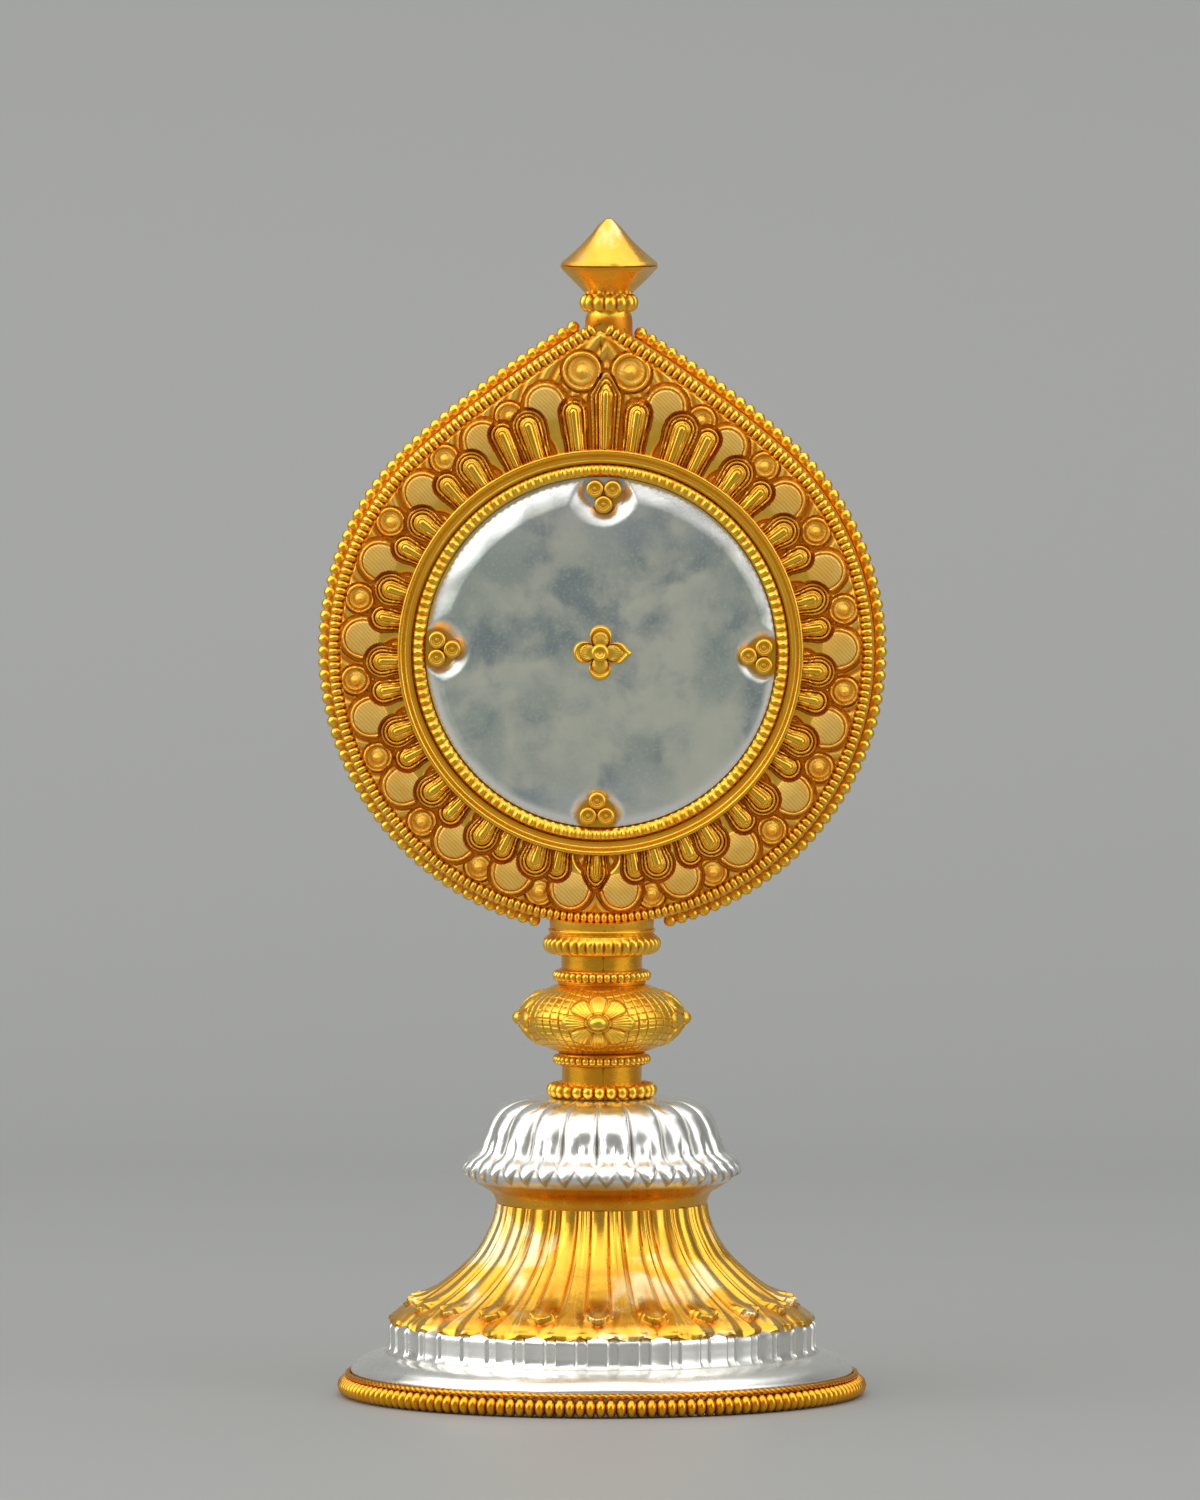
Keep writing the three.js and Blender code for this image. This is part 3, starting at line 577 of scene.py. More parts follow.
def foliage_relief(angle, radius):
    """Height over the plate, hollow and matt values of the foliage at polar places.

    Each form is a distance field laid over what came before it. A tongue petal is the distance to a radial
    line, so its nested grooves are the field's own contours. A lobe joins a round head to a broad tail. A
    cone is a ring round a raised point. Where a form is laid, its height, hollow and matt values take over.
    """
    a = np.abs(np.degrees((angle - MIRROR_LEAN + np.pi) % (2 * np.pi) - np.pi))
    veins = np.sin(np.radians(a) * 120 + radius * 1.4)
    height = 0.9 + 0.2 * veins
    matt = np.full(a.shape, 0.2)
    # Painted shade: hollow darkens the gilding in the troughs between the veins.
    hollow = 0.5 - 0.3 * veins

    def local(centre):
        turn = np.radians(a - centre)
        ahead = np.abs(turn) < 1
        return np.where(ahead, radius * np.sin(turn), 99.0), radius * np.cos(turn)

    # Painted shade: a gutter round each form is sunk and painted dark.
    def lay_gutter(where):
        height[where] = np.minimum(height[where], 0.55)
        hollow[where] = 1.0

    def lay(where, new, new_matt, new_hollow):
        for field, value in ((height, new), (matt, new_matt), (hollow, new_hollow)):
            field[where] = np.broadcast_to(value, field.shape)[where]

    def rounded(inside, over):
        return np.sqrt(np.clip(1 - (1 - np.clip(inside / over, 0, 1)) ** 2, 0, 1))

    def lobe(centre):
        u, t = local(centre)
        head_at = LOBE_REACH + 5.4 * math.exp(-((centre / 21) ** 2))
        head_d = np.hypot(u, t - head_at) - LOBE_R
        along = smooth(t, FOLIAGE_IN, head_at)
        tail_d = np.maximum(np.abs(u + 1.5 * (1 - along)) - (1.5 + 2.7 * along), t - head_at)
        mixed = np.clip(0.5 + 0.5 * (tail_d - head_d) / 1.6, 0, 1)
        inside = -(tail_d * (1 - mixed) + head_d * mixed - 1.6 * mixed * (1 - mixed))
        incised = hill(inside, 0.95, 0.2) * smooth(t - head_at, -2.8, -1.2)
        rim = hill(inside, 0.45, 0.3) * smooth(t - head_at, -3.0, -1.0)
        top = 0.4 + rounded(inside, 1.0) * (1.1 + 0.9 * along) + 0.3 * rim - 0.4 * incised
        top = top + 0.3 * np.sqrt(np.clip(1 - np.hypot(u, t - head_at) / 3.8, 0, 1))
        edge = smooth(0.4 - inside, 0, 0.4)
        lay_gutter((inside > -0.6) & (inside <= 0))
        # Painted shade along the lobe's edge, in its incised line and down the inner part of its tail.
        lay(inside > 0, top, 0.5 - 0.4 * np.clip(rim + smooth(t - head_at, -2, -5), 0, 1),
            np.clip(0.8 * incised + 0.9 * edge + 0.25 * smooth(head_at - 3.5 - t, 0, 4), 0, 1))

    def petal(centre, reach, half_width, band, point=0.0):
        u, t = local(centre)
        beyond = np.maximum(t - reach, 0)
        narrow = 0.82 + 0.18 * smooth(t, FOLIAGE_IN, reach)
        d = np.hypot(u / narrow * (1 + point * 0.2 * beyond), beyond * (1 - 0.3 * point))
        body = np.sqrt(np.clip(1 - (d / half_width) ** 2, 0, 1))
        lines = sum(hill(d / half_width, k, 0.085) for k in (0.36, 0.7))
        inner = 0.9 + 1.8 * body - 0.3 * lines
        ridge_at = half_width + 0.34
        ridge = 1.3 + 0.75 * np.sqrt(np.clip(1 - ((d - ridge_at) / 0.38) ** 2, 0, 1))
        border = ridge_at + 0.36
        outer = 0.95 + 0.55 * np.sqrt(np.clip(1 - ((d - border - band / 2) / (band / 2 + 1e-6)) ** 2, 0, 1))
        stipple = 0.12 * np.sin(30 * t) * np.sin(30 * u)
        gaps = hill(d, half_width, 0.1) + hill(d, border, 0.12)
        top = np.where(d < half_width, inner, np.where(d < border, ridge, outer + stipple)) - 0.35 * gaps
        end = smooth(d, border + band - 0.22, border + band)
        lay_gutter((d < border + band + 0.5) & (d >= border + band))
        fading = np.where(d > border, top * (1 - 0.5 * end), top)
        # Painted shade in the petal's grooves and gaps, over its border and end, and near the moulding.
        lay(d < border + band, fading, np.where(d > border, 0.2, 0.0),
            np.clip(0.65 * lines * (d < half_width) + 0.9 * gaps + end + 0.45 * (d > border)
                    + 0.4 * smooth(FOLIAGE_IN + 1.6 - t, 0, 1.6), 0, 1))

    def cone(centre, reach, size):
        u, t = local(centre)
        r = np.hypot(u, t - reach) / size
        spiral = np.cos(np.arctan2(t - reach, u) - 8.5 * r)
        spiral = spiral * smooth(r, 0.2, 0.34) * (1 - smooth(r, 0.62, 0.76))
        nipple = 1.9 * np.clip(1 - r / 0.4, 0, 1) ** 0.7
        dish = 1.0 + 0.35 * r + 0.3 * spiral
        ring = 0.65 * hill(r, 0.88, 0.1)
        lines = hill(r, 0.74, 0.06) + 0.4 * smooth(-spiral, 0.5, 1.0)
        lay_gutter((r < 1.1) & (r >= 1))
        # Painted shade in the cone's grooves and at its edge.
        lay(r < 1, dish + nipple + ring - 0.3 * lines, np.where(r < 0.74, 1.0, 0.15),
            np.clip(0.8 * lines + smooth(r, 0.94, 1), 0, 1))

    def gaps():
        for before, after in zip(lobes[:-1], lobes[1:]):
            yield before, after - before

    lobes = LOBE_ANGLES
    for before, step in gaps():
        middle = before + 0.52 * step
        cone(middle, CONE_REACH + 9.0 * math.exp(-middle / 12), 3.3)
    for centre in lobes:
        lobe(centre)
    for before, step in gaps():
        rise = 5.4 * math.exp(-((before / 26) ** 2))
        petal(before + 0.71 * step, 49.5 + rise, 1.95, 0.25)
        petal(before + 0.31 * step, 49.2 + rise, 2.2, 0.85)
    cone(5.0, 63.3, 4.5)
    petal(7.6, 54.3, 2.0, 0.4)
    petal(0.0, 58.0, 1.8, 1.1, point=1.0)
    petal(180.0, 50.0, 1.5, 0.6, point=0.6)
    return height, np.clip(hollow, 0, 1), np.clip(matt, 0, 1)


def make_foliage():
    """The relief in two halves, right and left, each a bar with its ends closed on the head's axis."""
    columns, rows = 1001, 88
    for side, first in (("right", 0.0), ("left", math.pi)):
        angle = first + np.linspace(0, np.pi, columns)
        share = np.linspace(0, 1, rows)
        reach = outline_reach(angle)[:, None]
        radius = FOLIAGE_IN + (reach - FOLIAGE_IN) * share
        turn = np.broadcast_to(angle[:, None], radius.shape)
        height, hollow, matt = foliage_relief(turn, radius)
        height = 0.25 + (height - 0.25) * smooth(share, 1.0, 0.96)
        flat = np.stack([radius * np.sin(turn), radius * np.cos(turn)], -1)
        front = on_head(flat, PLATE_FACE + height)
        back = on_head(flat[:, [-1, 0]], CASE_FRONT + 0.05)
        grid = np.concatenate([front, back], 1)
        ends = [np.broadcast_to(grid[i].mean(0), grid[:1].shape) for i in (0, -1)]
        grid = np.concatenate([ends[0], grid, ends[1]])
        pad = ((1, 1), (0, 2))
        capped_piece(f"foliage_{side}", grid, FOLIAGE_GOLD, "gilt", ["front_plate"],
                     hollow=np.pad(hollow, pad, constant_values=1.0), matt=np.pad(matt, pad), crease=60.0)


def facing(radius, forward, turn):
    """Points about the mirror's axis, at angles clockwise from the leaning top."""
    a = turn + MIRROR_LEAN
    return on_head(np.stack([radius * np.sin(a), radius * np.cos(a)], -1), forward + MIRROR_GAP)


def make_mirror_frame():
    """The hollow moulding and the ring of ribs round the mirror.

    Both are a section carried round the mirror's axis. On the ribbed ring the crest sinks by a power of the
    cosine of the angle, so that its ribs are round and the cuts between them narrow.
    """
    turn = around(480)[:, None]
    outer = straight([[42.6, 5.0], [45.7, 5.0], [45.7, 7.1]], 0.5)
    lips = spline([[45.7, 7.3], [45.35, 7.95], [44.8, 7.9], [44.4, 7.1], [43.7, 6.35], [43.0, 6.5],
                   [42.6, 6.9]], 26)
    loop = np.concatenate([outer, lips])
    # Painted shade: the cove darkens where it sinks between the lips.
    tone = np.concatenate([np.zeros(len(outer)), smooth(7.6 - lips[:, 1], 0.2, 1.3) * 0.3])
    grid = facing(loop[:, 0] + 0 * turn, loop[:, 1] + 0 * turn, turn + 0 * loop[:, 0])
    ring_piece("mirror_hollow_moulding", grid, PLAIN_GOLD, "gilt", ["mirror_moulding"],
               hollow=np.tile(tone, len(turn)), crease=50.0)
    turn = around(BEZEL_RIBS * 10)[:, None]
    rib = 0.5 + 0.5 * np.cos(BEZEL_RIBS * turn)
    base = np.concatenate([[[39.6, 5.0], [42.3, 5.0]], spline([
        [42.3, 6.3], [42.05, 6.95], [41.3, 7.4], [40.5, 7.3], [39.85, 6.8], [39.6, 6.2]], 13)])
    crest = np.concatenate([[0, 0], np.sin(np.linspace(0, np.pi, 13)) ** 0.5])
    forward = base[:, 1] + (rib**0.8 - 1) * crest * 0.55
    grid = facing(base[:, 0] + 0 * turn, forward, turn + 0 * base[:, 0])
    # Painted shade in the cuts between the ribs.
    ring_piece("mirror_ribbed_ring", grid, PLAIN_GOLD, "gilt", ["mirror_bezel"],
               hollow=((1 - rib) * crest * 0.6).ravel(), crease=60.0)


def make_mirror_disc():
    """A slightly domed hammered disc whose edge rolls off, and bends inwards round each group of beads.

    The distance to the edge is the smaller of the distance to the rim and that to a circle round each group.
    Over a width that is largest at the upper left, the face falls with a power of that distance.
    """
    rows, count = 130, 460
    radius = np.linspace(0, MIRROR_R, rows)[:, None]
    turn = around(count)[None]
    x, y = radius * np.sin(turn), radius * np.cos(turn)
    forward = 6.75 + 0.22 * (1 - (radius / MIRROR_R) ** 2) + 0 * turn
    forward += 0.03 * (np.sin(x * 0.9 + 1.3 * np.sin(y * 0.35)) + np.sin(y * 0.8 - 1.1 * np.sin(x * 0.4)))
    edge = MIRROR_R - radius + 0 * turn
    notch = np.full(edge.shape, 50.0)
    for k in range(4):
        cx, cy = (TREFOIL_R + 1.3) * math.sin(k * math.pi / 2), (TREFOIL_R + 1.3) * math.cos(k * math.pi / 2)
        notch = np.minimum(notch, np.hypot(x - cx, y - cy) - 4.9)
    edge = np.minimum(edge, np.maximum(notch, -0.6) * 1.3 + 0.3)
    width = 2.3 + 3.4 * (0.5 + 0.5 * np.cos(turn + 0.45)) ** 2 + 0 * edge
    forward -= 0.34 * width * np.clip(1 - edge / width, 0, 1) ** 1.15
    # Painted highlight and reflection: a pale band along the edge, widest at the upper left, and paler silver
    # towards the top and the bottom.
    painted_highlight = 0.9 * smooth(width - edge, 0, width) + 0.4 * smooth(y, 8, 36) + 0.35 * smooth(-y, 14, 36)
    front = facing(radius + 0 * turn, forward, turn + 0 * radius)
    rim = facing(np.full((1, count), MIRROR_R), np.full((1, count), 5.0), turn)
    centre = facing(np.zeros((1, count)), np.full((1, count), 5.0), turn)
    pad = np.zeros((2, count))
    capped_piece("mirror_face", np.concatenate([front, rim, centre]), MIRROR_SILVER, "mirror_silver",
                 ["mirror_disc"], hollow=np.concatenate([np.clip(painted_highlight, 0, 1), pad]),
                 wash=np.concatenate([smooth(-notch, 0.0, 0.5), pad]), crease=50.0)


def domes(name, centres, outline, sides, *finish, **more):
    """Small turned forms that face the front, from [radius, forward] rows that run from the middle out."""
    outline = np.asarray(outline, float)
    turn = around(sides)[None]
    all_points, all_quads, all_fans, tones = [], [], [], []
    offset = 0
    for cx, cy in centres:
        radius = outline[:, :1] + 0 * turn
        grid = on_head(np.stack([cx + radius * np.sin(turn), cy + radius * np.cos(turn)], -1),
                       outline[:, 1:2] + MIRROR_GAP + 0 * turn)
        points, quads, fans = poled(grid)
        all_points.append(points)
        all_quads.append(quads + offset)
        all_fans.append(fans + offset)
        level = np.concatenate([[outline[0, 1]], np.repeat(outline[1:-1, 1], sides), [outline[-1, 1]]])
        # Painted shade: each form darkens towards its foot.
        tones.append(smooth(outline[:, 1].max() - level, 0.35, 1.3) * 0.8)
        offset += len(points)
    sew(name, np.concatenate(all_points), np.concatenate(all_quads), np.concatenate(all_fans),
        *finish, hollow=np.concatenate(tones), **more)


RINGED_BEAD = np.concatenate([
    spline([[0, 7.75], [0.35, 7.7], [0.7, 7.35], [0.95, 7.5], [1.35, 8.05], [1.75, 7.9], [2.0, 7.3],
            [2.05, 6.6]], 26),
    [[2.05, 5.9], [0, 5.9]]])


def make_trefoils():
    """Three ringed beads at each quarter of the mirror: two at its edge and one before them."""
    for k, side in enumerate(("top", "right", "bottom", "left")):
        lean = MIRROR_LEAN + k * math.pi / 2
        out = np.array([math.sin(lean), math.cos(lean)])
        across = np.array([out[1], -out[0]])
        centres = [TREFOIL_R * out + 1.15 * out + 2.0 * across, TREFOIL_R * out + 1.15 * out - 2.0 * across,
                   TREFOIL_R * out - 2.3 * out]
        domes(f"trefoil_beads_{side}", centres, RINGED_BEAD, 28, PALE_GOLD, "pale_gilt", [f"trefoil_{side}"],
              crease=60.0)


def make_centre_flower():
    """Four round petals: the edge swings in between them, and each is domed with a raised border."""
    rows, count = 30, 240
    turn = around(count)[None]
    share = np.linspace(0, 1, rows)[:, None]
    wave = np.abs(np.cos(2 * turn)) ** 0.55
    reach = 2.2 + 4.1 * wave + 0.8 * np.exp(-(((turn - math.pi / 2) / 0.13) ** 2))
    radius = reach * share
    fold = 1 - 0.75 * np.exp(-((np.cos(2 * turn) / 0.28) ** 2)) * smooth(share, 0.1, 0.5)
    border = 0.45 * hill(share, 0.88, 0.06) - 0.25 * hill(share, 0.76, 0.05)
    veins = 0.06 * np.cos(56 * turn) * hill(share, 0.58, 0.14)
    forward = 7.0 + fold * (1 - 0.35 * share) + border + veins - 0.8 * smooth(share, 0.95, 1.0)
    front = facing(radius, forward, turn + 0 * radius)
    low = facing(reach, np.full((1, count), 6.75), turn)
    centre = facing(0 * reach, np.full((1, count), 6.75), turn)
    # Painted shade in the folds between the petals and in the groove inside the border.
    tone = np.concatenate([1 - fold * (1 - 0.7 * hill(share, 0.76, 0.05)), np.ones((2, count)) * 0.5])
    capped_piece("centre_flower_petals", np.concatenate([front, low, centre]), PALE_GOLD, "pale_gilt",
                 ["centre_flower"], hollow=np.clip(tone, 0, 1), crease=60.0)
    boss = np.concatenate([
        spline([[0, 8.6], [0.4, 8.65], [0.75, 8.9], [1.3, 9.35], [1.8, 9.1], [2.05, 8.3]], 20),
        [[2.05, 7.4], [0, 7.4]]])
    domes("centre_flower_button", [(0.0, 0.0)], boss, 32, PALE_GOLD, "pale_gilt", ["centre_flower_boss"],
          crease=60.0)


def make_finial():
    """Two hammered cones base to base, a ring of beads and a short neck, turned about the finial's axis.

    The cones' radius swings in and out a little round the circle, as beaten sheet does. The neck's foot is
    cut to the slope of the head's flanks: it falls with the sideways distance from the head's point.
    """
    theta = around(160)
    wave = 0.05 * np.sin(5 * theta + 0.7) + 0.04 * np.sin(9 * theta)
    upper = np.concatenate([
        [[0, FINIAL_EDGE]], straight([[10.6, FINIAL_EDGE], [FINIAL_R, FINIAL_EDGE + 0.15]], 0.2),
        spline([[10.7, FINIAL_EDGE + 0.7], [8.0, 257.3], [4.7, 260.5], [2.2, 263.5], [0.9, 264.7]], 34),
        [[0, TOP]]])
    lower = np.concatenate([
        [[0, 248.0]], spline([[5.3, 248.0], [6.6, 249.3], [8.8, 251.5], [FINIAL_R - 0.2, 253.6]], 24),
        [[FINIAL_R, 254.1], [10.6, FINIAL_EDGE], [0, FINIAL_EDGE]]])
    for name, node, line in (("finial_upper_cone", "finial_top_cone", upper),
                             ("finial_lower_cone", "finial_bottom_cone", lower)):
        radius = line[:, 0] * (1 + wave[:, None] * 0.12 * smooth(line[:, 0], 2, 9))
        grid = turned(np.minimum(radius, FINIAL_R), line[:, 1], theta, FINIAL_X)
        tone = 0.35 * hill(line[:, 0], FINIAL_R, 0.6) + 0 * radius
        capped_piece(name, grid.swapaxes(0, 1), WORN_GOLD, "gilt", [node], hollow=tone.T, crease=28.0)
    bead_ring("finial_collar_beads", 5.2, 245.9, COLLAR_BEADS, (1.5, 1.5, 2.05), PLAIN_GOLD, "finial_collar",
              start=0.1, x=FINIAL_X)
    line = np.concatenate([
        [[0, 241.5]], spline([[5.2, 241.5], [5.35, 242.4], [4.9, 243.6], [4.9, 246], [5.0, 247.95]], 20),
        [[0, 247.95]]])
    grid = turned(line[:, 0], line[:, 1], around(96), FINIAL_X).swapaxes(0, 1)
    grid[..., 2] -= 0.55 * np.abs(grid[..., 0]) * smooth(243.2 - grid[..., 2], 0, 1.5)
    # Painted shade: the neck darkens towards its foot on the head.
    capped_piece("finial_stub", grid, PLAIN_GOLD, "gilt", ["finial_neck"],
                 hollow=smooth(243.8 - grid[..., 2], -0.5, 1.5), crease=50.0)


def make_stem():
    """The saddle socket, two necks with their seam, and beaded rings, turned about the stand's axis.

    The socket's radius shrinks between its ribs by a power of one less the cosine of the angle. Its lip
    follows the head's circle, so that the head sits in it. Each neck has a narrow groove for its seam.
    """
    theta = around(SADDLE_RIBS * 20)
    line = np.concatenate([spline([
        [10.3, 99.35], [12.3, 99.8], [13.3, 101.2], [13.2, 102.6], [12.1, 103.7], [11.6, 104.2],
        [12.1, 104.7], [12.1, 105.0], [11.6, 105.2], [11.8, 105.5]], 60), [[BORE, 105.9], [BORE, 99.35]]])
    cut = 1 - np.abs(np.cos(SADDLE_RIBS / 2 * theta))[:, None]
    depth = hill(line[:, 1], 101.4, 1.7) * (line[:, 0] > 9)
    radius = line[:, 0] - 0.75 * depth * cut**1.3
    sideways = radius * np.sin(theta)[:, None]
    seat = HEAD_Z - np.sqrt(np.maximum((HEAD_R - CASE_INSET + 0.05) ** 2 - sideways**2, 0))
    height = np.where(line[:, 1] > 105.45, np.minimum(seat + 0.45, 107.6), line[:, 1])
    # Painted shade in the cuts between the ribs, in the groove of the waist and along the top, under the
    # head.
    lip = 0.7 * hill(line[:, 1], 104.1, 0.3) + 0.55 * (line[:, 1] > 105.1)
    ring_piece("saddle_socket", turned(radius, height, theta), PLAIN_GOLD, "gilt", ["saddle_collar"],
               hollow=np.clip(depth * cut * 0.9 + lip, 0, 1).ravel(), crease=60.0)

    theta = around(160)
    for name, node, low, high, radius in (("upper_neck", "neck_upper", 96.0, 99.3, 9.1),
                                          ("lower_neck", "neck_lower", 67.05, 74.4, 9.0)):
        line = np.concatenate([
            straight([[BORE, low], [radius, low]], 3), straight([[radius, low + 0.1], [radius, high]], 0.5),
            [[BORE, high]]])
        outside = line[:, 0] > 8
        seam = hill(np.degrees(theta), 4.0, 0.8)[:, None] * outside
        # The seam is a dark joint; the darkening at both ends, where the neck meets the next part, is painted
        # shade.
        tone = seam + 0.5 * (hill(line[:, 1], low, 0.6) + hill(line[:, 1], high, 0.6)) * outside
        ring_piece(name, turned(line[:, 0] - 0.12 * seam, line[:, 1], theta), ORANGE_GOLD, "gilt", [node],
                   hollow=np.clip(tone, 0, 1).ravel(), crease=50.0)

    for name, node, height, radius, count, size in (
        ("upper_bead_ring", "knop_ring_upper", 94.6, 10.2, 40, (0.86, 0.95, 1.15)),
        ("lower_bead_ring", "knop_ring_lower", 75.7, 10.2, 40, (0.86, 0.9, 1.05)),
        ("lotus_beads", "lotus_bead_ring", 68.8, 10.95, 27, (1.36, 1.6, 1.7)),
    ):
        bead_ring(name, radius, height, count, size, PLAIN_GOLD, node)
    for name, node, low, high in (("upper_ring_seat", "knop_ring_upper", 92.6, 96.0),
                                  ("lower_ring_seat", "knop_ring_lower", 74.4, 77.2)):
        edge = [[9.6, low], [9.9, low + 0.3], [9.7, (low + high) / 2], [9.9, high - 0.3], [9.6, high]]
        line = np.concatenate([[[BORE, low]], spline(edge, 12), [[BORE, high]]])
        # Painted shade: the seats, seen only between the beads, are painted dark.
        ring_piece(name, turned(line[:, 0], line[:, 1], around(120)), PLAIN_GOLD, "gilt", [node],
                   hollow=0.7, crease=50.0)


def make_knop():
    """The lens-shaped knop: an ellipse turned about the stand's axis, with a net of sunk lines.

    Upright lines lie where the angle, and level lines where the tilt, comes near a whole number of steps.
    Both sway a little, and a seam runs round the middle.
    """
    theta = around(NET_LINES * 20)
    turn = theta[:, None]
    tilt = np.linspace(-1.09, 1.09, 96)
    height = KNOP_Z + KNOP_HALF * np.sin(tilt)
    upright = np.abs((turn * NET_LINES / (2 * np.pi) + 0.25 * tilt) % 1 - 0.5)
    level = np.abs((tilt * 5.6 + 0.45 * np.cos(4 * turn)) % 1 - 0.5)
    lines = np.maximum(smooth(upright, 0.4, 0.47), smooth(level, 0.4, 0.47) * 0.8)
    lines = lines * smooth(1.0 - np.abs(tilt), 0, 0.08)
    seam = hill(height, KNOP_Z, 0.18) * 0.6
    radius = KNOP_R * np.cos(tilt) - 0.3 * lines - 0.12 * seam
    # Painted shade in the sunk lines of the net; the seam round the middle is a dark joint.
    bored_piece("knop", radius, height, theta, (height[-1], height[0]), PALE_GOLD, "gilt",
                ["knop_upper_shell", "knop_lower_shell"], inside=1.0, hollow=np.clip(lines + seam, 0, 1))


def make_knop_flowers():
    """Eight-petalled flowers bent over the knop.

    Each is laid out flat, with an edge that swings in between the petals. Its height over the knop is a dome
    that folds down between them, with fine veins and a round boss, and the whole is wrapped on the knop.
    """
    rows, count = 44, 256
    turn = around(count)[None]
    share = np.linspace(0, 1, rows)[:, None]
    wave = np.abs(np.cos(4 * turn)) ** 0.5
    reach = 0.72 + 0.28 * wave
    a = 8.9 * reach * share * np.cos(turn)
    b = 6.9 * reach * share * np.sin(turn)
    near = share * reach
    petal = smooth(near, 0.27, 0.34)
    fold = 1 - 0.7 * np.exp(-((np.cos(4 * turn) / 0.3) ** 2)) * petal
    dome = np.sqrt(np.clip(1 - (np.clip(share - 0.55, 0, 1) / 0.46) ** 2, 0, 1))
    rise = 0.75 * fold * dome + 0.12 * hill(share, 0.85, 0.06)
    boss = 2.1 * np.sqrt(np.clip(1 - (near / 0.25) ** 2, 0, 1)) + 1.0 * hill(near, 0.29, 0.03)
    veins = 0.07 * np.cos(48 * turn) * petal * smooth(0.9 - share, 0, 0.1)
    lift = np.maximum(rise + veins, boss) - 0.1
    lift = np.where(share > 0.97, -0.35, lift)
    tilt = np.arcsin(np.clip(b / (KNOP_HALF + 0.4), -1, 1))
    # Painted shade in the folds between the petals, in the grooves round the boss and at the flower's edge on
    # the knop.
    tone = 1 - fold + hill(near, 0.25, 0.02) + hill(near, 0.34, 0.03) + smooth(share, 0.93, 1)
    tone = np.clip(tone, 0, 1)
    radius = (KNOP_R + lift) * np.cos(tilt)
    height = KNOP_Z + (KNOP_HALF + lift) * np.sin(tilt)
    for k, side in enumerate(("front", "right", "back", "left")):
        quarter = k * math.pi / 2
        angle = a / KNOP_R + quarter
        grid = np.stack([radius * np.sin(angle), -radius * np.cos(angle), height], -1)
        middle = [(KNOP_R - 1.2) * math.sin(quarter), -(KNOP_R - 1.2) * math.cos(quarter), KNOP_Z]
        grid = np.concatenate([grid, np.broadcast_to(middle, (1, count, 3))])
        capped_piece(f"knop_blossom_{side}", grid, PALE_GOLD, "pale_gilt", [f"knop_flower_{side}"],
                     hollow=np.concatenate([tone + 0 * turn, np.ones((1, count))]), crease=60.0)


def make_lotus_cap():
    """Silver petals: each is round across, pinched at its borders, and ends in two small tongues.

    The radius is that of the section, less a round arch's shortfall across each petal and a narrow groove at
    its border. Towards the rim two arches to a petal take over, up to a line that is cut into tongues.
    """
    theta = around(CAP_PETALS * 36)
    line = spline([
        [12.8, 67.0], [17.5, 66.9], [21.0, 66.1], [24.0, 64.2], [26.0, 61.0], [27.0, 57.6], [28.2, 55.2],
        [30.6, 53.0], [31.5, 50.8], [30.6, 49.0], [28.2, 47.4], [25.6, 45.7], [24.4, 43.2]], 110)
    phase = ((theta * CAP_PETALS / (2 * np.pi)) % 1 - 0.5)[:, None]
    arch = np.sqrt(np.clip(1 - (2 * phase) ** 2, 0, 1))
    border = hill(np.abs(phase), 0.5, 0.05)
    along = np.linspace(0, 1, len(line))
    upper = smooth(along, 0.05, 0.2) * (1 - smooth(along, 0.56, 0.66))
    half_phase = (np.abs((theta * 2 * CAP_PETALS / (2 * np.pi)) % 1 - 0.5) * 2)[:, None]
    tongue_end = 0.645 + 0.1 * (1 - half_phase) ** 0.85
    proud = 1 - smooth(along, tongue_end - 0.008, tongue_end + 0.012)
    flare = smooth(along, 0.42, 0.58)
    knuckle = hill(along, 0.5, 0.028) * hill(half_phase, 0, 0.4)
    under = smooth(along, 0.72, 0.8) * (1 - smooth(along, 0.9, 1.0))
    radius = (line[:, 0] - 1.9 * (1 - arch) * upper - 0.35 * border * upper - 0.85
              + flare * proud * (0.85 - 0.9 * half_phase**2) + 0.85 * (1 - flare) + 0.16 * knuckle
              - 0.3 * (1 - arch) * under)
    lip = smooth(along, tongue_end, tongue_end + 0.012)
    lip = lip * (1 - smooth(along, tongue_end + 0.02, tongue_end + 0.06))
    # Painted shade in the grooves at the petals' borders and just below the tongues.
    hollow = np.clip(border * upper * 0.4 + lip, 0, 1)
    bored_piece("lotus_cap_petals", radius, line[:, 1], theta, (43.2, 67.0), SILVER, "silver", ["lotus_cap"],
                hollow=hollow, wash=smooth(along, 0.72, 0.86) + 0 * radius)


